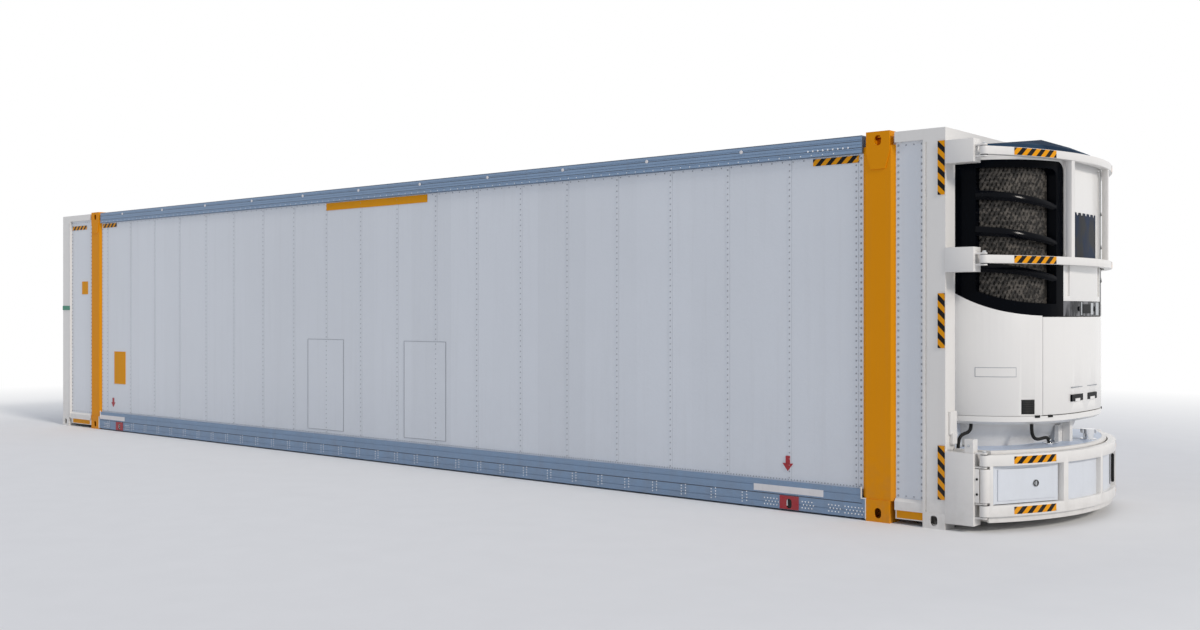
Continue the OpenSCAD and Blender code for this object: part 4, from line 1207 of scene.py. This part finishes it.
@dataclass
class GuardSkin(SubAssembly):
    """Smoothed guards with their tapes, hinge pins and bolts."""

    edge: float = 0.004
    tape_w: float = 0.054
    tape_z: Pair = (0.163, 0.53)
    low_rails: tuple[Pair, Pair] = ((0.122, 0.202), (0.49, 0.57))
    washer_r: float = 0.027
    slot_y: float = 0.42
    slot_r: float = 0.018
    slot_z: Pair = (0.242, 0.45)
    frame_slot: Pair = (6.995, 0.524)

    def tapes(self, bow: Bow, ends: Pair) -> None:
        """Lays a tape on both rails of a guard, on both sides of the nose.

        Args:
            bow: The guard.
            ends: Both ends of the near tapes, across the container.
        """
        low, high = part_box(bow.value)
        heights = self.tape_z if bow is Bow.LOWER else (low.z + BAR / 2, high.z - BAR / 2)
        for side in Side:
            span = ends if side is Side.NEAR else (-ends[1], -ends[0])
            strips = []
            for z in heights:
                path, out = along(guard_skin, span, 12, bow, z)
                strips.append(ribbon(path, self.tape_w, out))
            self.keep(f"tapes_{bow.value}_{side.name.lower()}", strips, "tape", bow.value)

    def hinges(self) -> None:
        """Builds the dark washers and pin heads at the near hinges and the bolts of the hinge plate."""
        low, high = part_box("upper_guard")
        x, y, _ = HINGE
        rings, heads = [], []
        for foot, top in (*self.low_rails, (low.z, low.z + BAR), (high.z - BAR, high.z)):
            for z in (foot - 0.0042, top + 0.0008):
                rings.append(disc((x, y, z), UP, self.washer_r, 0.0034, 24, 0.0004))
            heads.append(disc((x, y, top + 0.017), UP, 0.015, 0.012, 6))
        self.keep("hinge_washers", rings, "black_steel")
        self.keep("hinge_heads", heads, "galvanised_steel")
        bolts = [disc((x - 0.04, y - 0.036, z), NEARWARD, 0.010, 0.004, 6) for z in (0.285, 0.395)]
        self.keep("hinge_plate_bolts", bolts, "black_steel")

    def ring(self) -> None:
        """Builds the dark ring in the locker door's latch."""
        low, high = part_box("ring_latch")
        facing = Vector((high.y - low.y, low.x - high.x, 0)).normalized()
        clear_selection()
        bpy.ops.mesh.primitive_torus_add(major_radius=0.021, minor_radius=0.0032, major_segments=32, minor_segments=8)
        ring = turned(bpy.context.object, (low + high) / 2 + facing * 0.004, facing)
        self.keep("latch_ring", [smooth(ring, 60)], "black_steel", "locker_door")

    def slot(self) -> None:
        """Builds painted shadow: dark sheets in the upright slots of the far bay's panel and beside it in the frame."""
        y, r, (low, high) = self.slot_y, self.slot_r, self.slot_z
        # Painted shadow: the slots are lined with dark sheets so that they read as holes in shade.
        path, out = along(guard_skin, (y - r, y + r), 4, Bow.LOWER, (low + high) / 2, 0.034)
        parts = [ribbon(path, high - low, out)]
        for z in (low, high):
            at, way = guard_skin(y, Bow.LOWER, z, 0.0345)
            parts.append(disc(at, way, r, 0.0018, 24, 0.0004))
        x, face = self.frame_slot
        parts.append(block((x - 0.012, face - 0.0012, low), (x + 0.012, face + SUNK, high), 0.0))
        for z in (low, high):
            parts.append(disc((x, face + 0.0004, z), NEARWARD, 0.012, 0.0016, 24, 0.0004))
        self.keep("slot_shadows", parts, "black_steel", "lower_guard")

    def build(self) -> None:
        """Smooths the guards, each on its own body, and adds their small parts."""
        self.refine("upper_guard", self.edge, "upper_guard")
        self.refine("lower_guard", self.edge, "lower_guard")
        self.refine("guard_panels", 0.0, "lower_guard")
        self.refine("guard_brackets", self.edge)
        self.tapes(Bow.LOWER, (-1.026, -0.658))
        self.tapes(Bow.UPPER, (-1.011, -0.613))
        self.hinges()
        self.ring()
        self.slot()


@dataclass
class RearFittings(SubAssembly):
    """Rubber seals, bolts and cam keepers of the rear doors."""

    seal_w: float = 0.034
    seal_over: float = 0.006
    hinge_h: float = 0.1
    hinges: int = 4
    rods: Pair = (-0.28, -0.78)

    def build(self) -> None:
        """Builds the seals, bolts and keepers of the near leaf and copies them to the far one."""
        x, w, t = DOOR_LOW.x + 0.008, self.seal_w, self.seal_over
        y, z0, z1 = DOOR_LOW.y, DOOR_LOW.z, DOOR_HIGH.z
        seals = [block((x - 0.005, a, b), (x + 0.002, c, d), 0.0015)
                 for a, b, c, d in ((y - t, z0, y + w, z1), (-w, z0, -0.002, z1), (y + w, z0 - t, -w, z0 + w),
                                    (y + w, z1 - w, -w, z1 + t))]
        self.keep_both("door_seals_near", seals, "black_rubber")
        low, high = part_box("door_hinges")
        gap = (high.z - low.z - self.hinge_h) / (self.hinges - 1)
        bolts = [disc((low.x + 0.018, y + dy - 0.008, low.z + self.hinge_h / 2 + gap * k), REARWARD, 0.011, 0.006, 6)
                 for k in range(self.hinges) for dy in (0.05, 0.085, 0.12)]
        self.keep_both("hinge_bolts_near", bolts, "galvanised_steel")
        keepers = [block((x - 0.034, share * -y - 0.05, z), (x - 0.002, share * -y + 0.05, z + 0.05), 0.003)
                   for share in self.rods for z in (z0 - 0.075, z1 + 0.012)]
        self.keep_both("cam_keepers_near", keepers, "galvanised_steel")


@dataclass
class RoofSheets(SubAssembly):
    """Seams and rivets across the roof."""

    sheet: float = 1.21
    post_in: float = 0.25
    half: float = ROOF_HIGH.y - 0.006
    lap_w: float = 0.04
    lap_t: float = 0.0012
    pitch: float = 0.08

    def build(self) -> None:
        """Builds the seam laps and their rivets over the long span of the roof."""
        x0, z, half = X_LIFT_REAR + self.post_in, ROOF_HIGH.z, self.half
        seams = spread(X_LIFT_FRONT - self.post_in - x0, self.sheet)
        lap = block((x0 - self.lap_w / 2, -half, z - SUNK), (x0 + self.lap_w / 2, half, z + self.lap_t), 0.0005, 1)
        self.keep("roof_seams", [repeat(lap, seams)], "panel_sheet")
        n = int(2 * half / self.pitch)
        row = (n + 1, (0, (2 * half - self.lap_w) / n, 0))
        heads = rivets((x0, self.lap_w / 2 - half, z + self.lap_t), Rivet.SEAM, row, seams, facing=UP)
        self.keep("roof_rivets", [heads], "rivet")


@dataclass
class Studio:
    """Floor, lights and camera."""

    lens: float = 37.64
    sensor: float = 36.0
    shift: float = -0.0018
    place: Point = (10.436, -9.955, 1.605)
    yaw: float = 40.4
    fade: Pair = (8.0, 17.0)
    sun_colour: Colour = (1.0, 0.945, 0.875)
    sun_power: float = 1.62
    sun_size: float = 10.0
    sun_from: Point = (1.0, -0.16, 0.62)
    sky: Colour = (0.49, 0.52, 0.585)

    def seen_directly(self, w: Wiring) -> Socket:
        """Adds a value that is 1 for what the camera, a reflection or glass shows."""
        ray = w.add("LightPath").outputs
        return w.math("MAXIMUM", ray["Is Camera Ray"],
                      w.math("MAXIMUM", ray["Is Glossy Ray"], ray["Is Transmission Ray"]))

    def floor(self) -> None:
        """Makes the pale floor, which fades to white far from the container."""
        clear_selection()
        bpy.ops.mesh.primitive_plane_add(size=400, location=(0, 0, 0))
        floor = bpy.context.object
        floor.name = "studio_floor"
        paint, w, shader = new_material("studio_floor")
        nodes = w.tree.nodes
        where = w.add("TexCoord").outputs["Object"]
        grain = w.mix(w.noise(where, 3.0, 4), (0.80, 0.80, 0.80, 1), (0.84, 0.84, 0.84, 1))
        w.fill(shader, {"Roughness": 0.9, "Specular IOR Level": 0.1, "Base Color": grain})
        far = w.band(w.add("VectorMath", {0: where}, operation="LENGTH").outputs["Value"], *self.fade)
        share = w.math("MULTIPLY", far, self.seen_directly(w))
        white = w.add("Emission", {"Color": (1, 1, 1, 1), "Strength": 1.0})
        both = w.add("MixShader", {0: share, 1: nodes["Principled BSDF"].outputs[0], 2: white.outputs[0]})
        w.fill(nodes["Material Output"].inputs, {"Surface": both.outputs[0]})
        floor.data.materials.append(paint)

    def lights(self) -> None:
        """Makes the soft sun and the pale sky."""
        sun = bpy.data.lights.new("key", "SUN")
        sun.energy, sun.angle, sun.color = self.sun_power, math.radians(self.sun_size), self.sun_colour
        key = bpy.data.objects.new("key", sun)
        key.rotation_mode = "QUATERNION"
        key.rotation_quaternion = Vector(self.sun_from).to_track_quat("Z", "Y")
        bpy.context.scene.collection.objects.link(key)
        world = bpy.data.worlds.new("studio")
        world.use_nodes = True
        bpy.context.scene.world = world
        w = Wiring(world.node_tree)
        colour = w.mix(self.seen_directly(w), rgba(self.sky), (1, 1, 1, 1))
        w.fill(world.node_tree.nodes["Background"].inputs, {"Color": colour})

    def camera(self) -> None:
        """Makes the camera at the photograph's viewing angle."""
        data = bpy.data.cameras.new("camera")
        data.lens, data.sensor_width, data.sensor_fit = self.lens, self.sensor, "HORIZONTAL"
        data.shift_y, data.clip_end = self.shift, 500
        camera = bpy.data.objects.new("camera", data)
        camera.location = self.place
        camera.rotation_euler = (math.pi / 2, 0, math.radians(self.yaw))
        bpy.context.scene.collection.objects.link(camera)
        bpy.context.scene.camera = camera
        bpy.context.scene.view_settings.view_transform = "Standard"

    def build(self) -> None:
        """Makes the whole studio."""
        self.floor()
        self.lights()
        self.camera()


def main() -> None:
    """Builds the studio and every sub-assembly in order."""
    logging.basicConfig(level=logging.INFO, format="%(name)s %(message)s")
    Studio().build()
    palette = Palette()
    for name, finish in NODE_SLOT.items():
        palette.dress_node(name, finish)
        LOG.info("node %s: %s", name, finish)
    for kind in (SideSheets, BaySheets, RailTrim, Labels, NoseSkin, MeshRelief, NoseFittings, GuardSkin, RearFittings,
                 RoofSheets):
        kind(palette).build()
        LOG.info("built %s", kind.__name__)
    clear_selection()


if __name__ == "__main__":
    main()
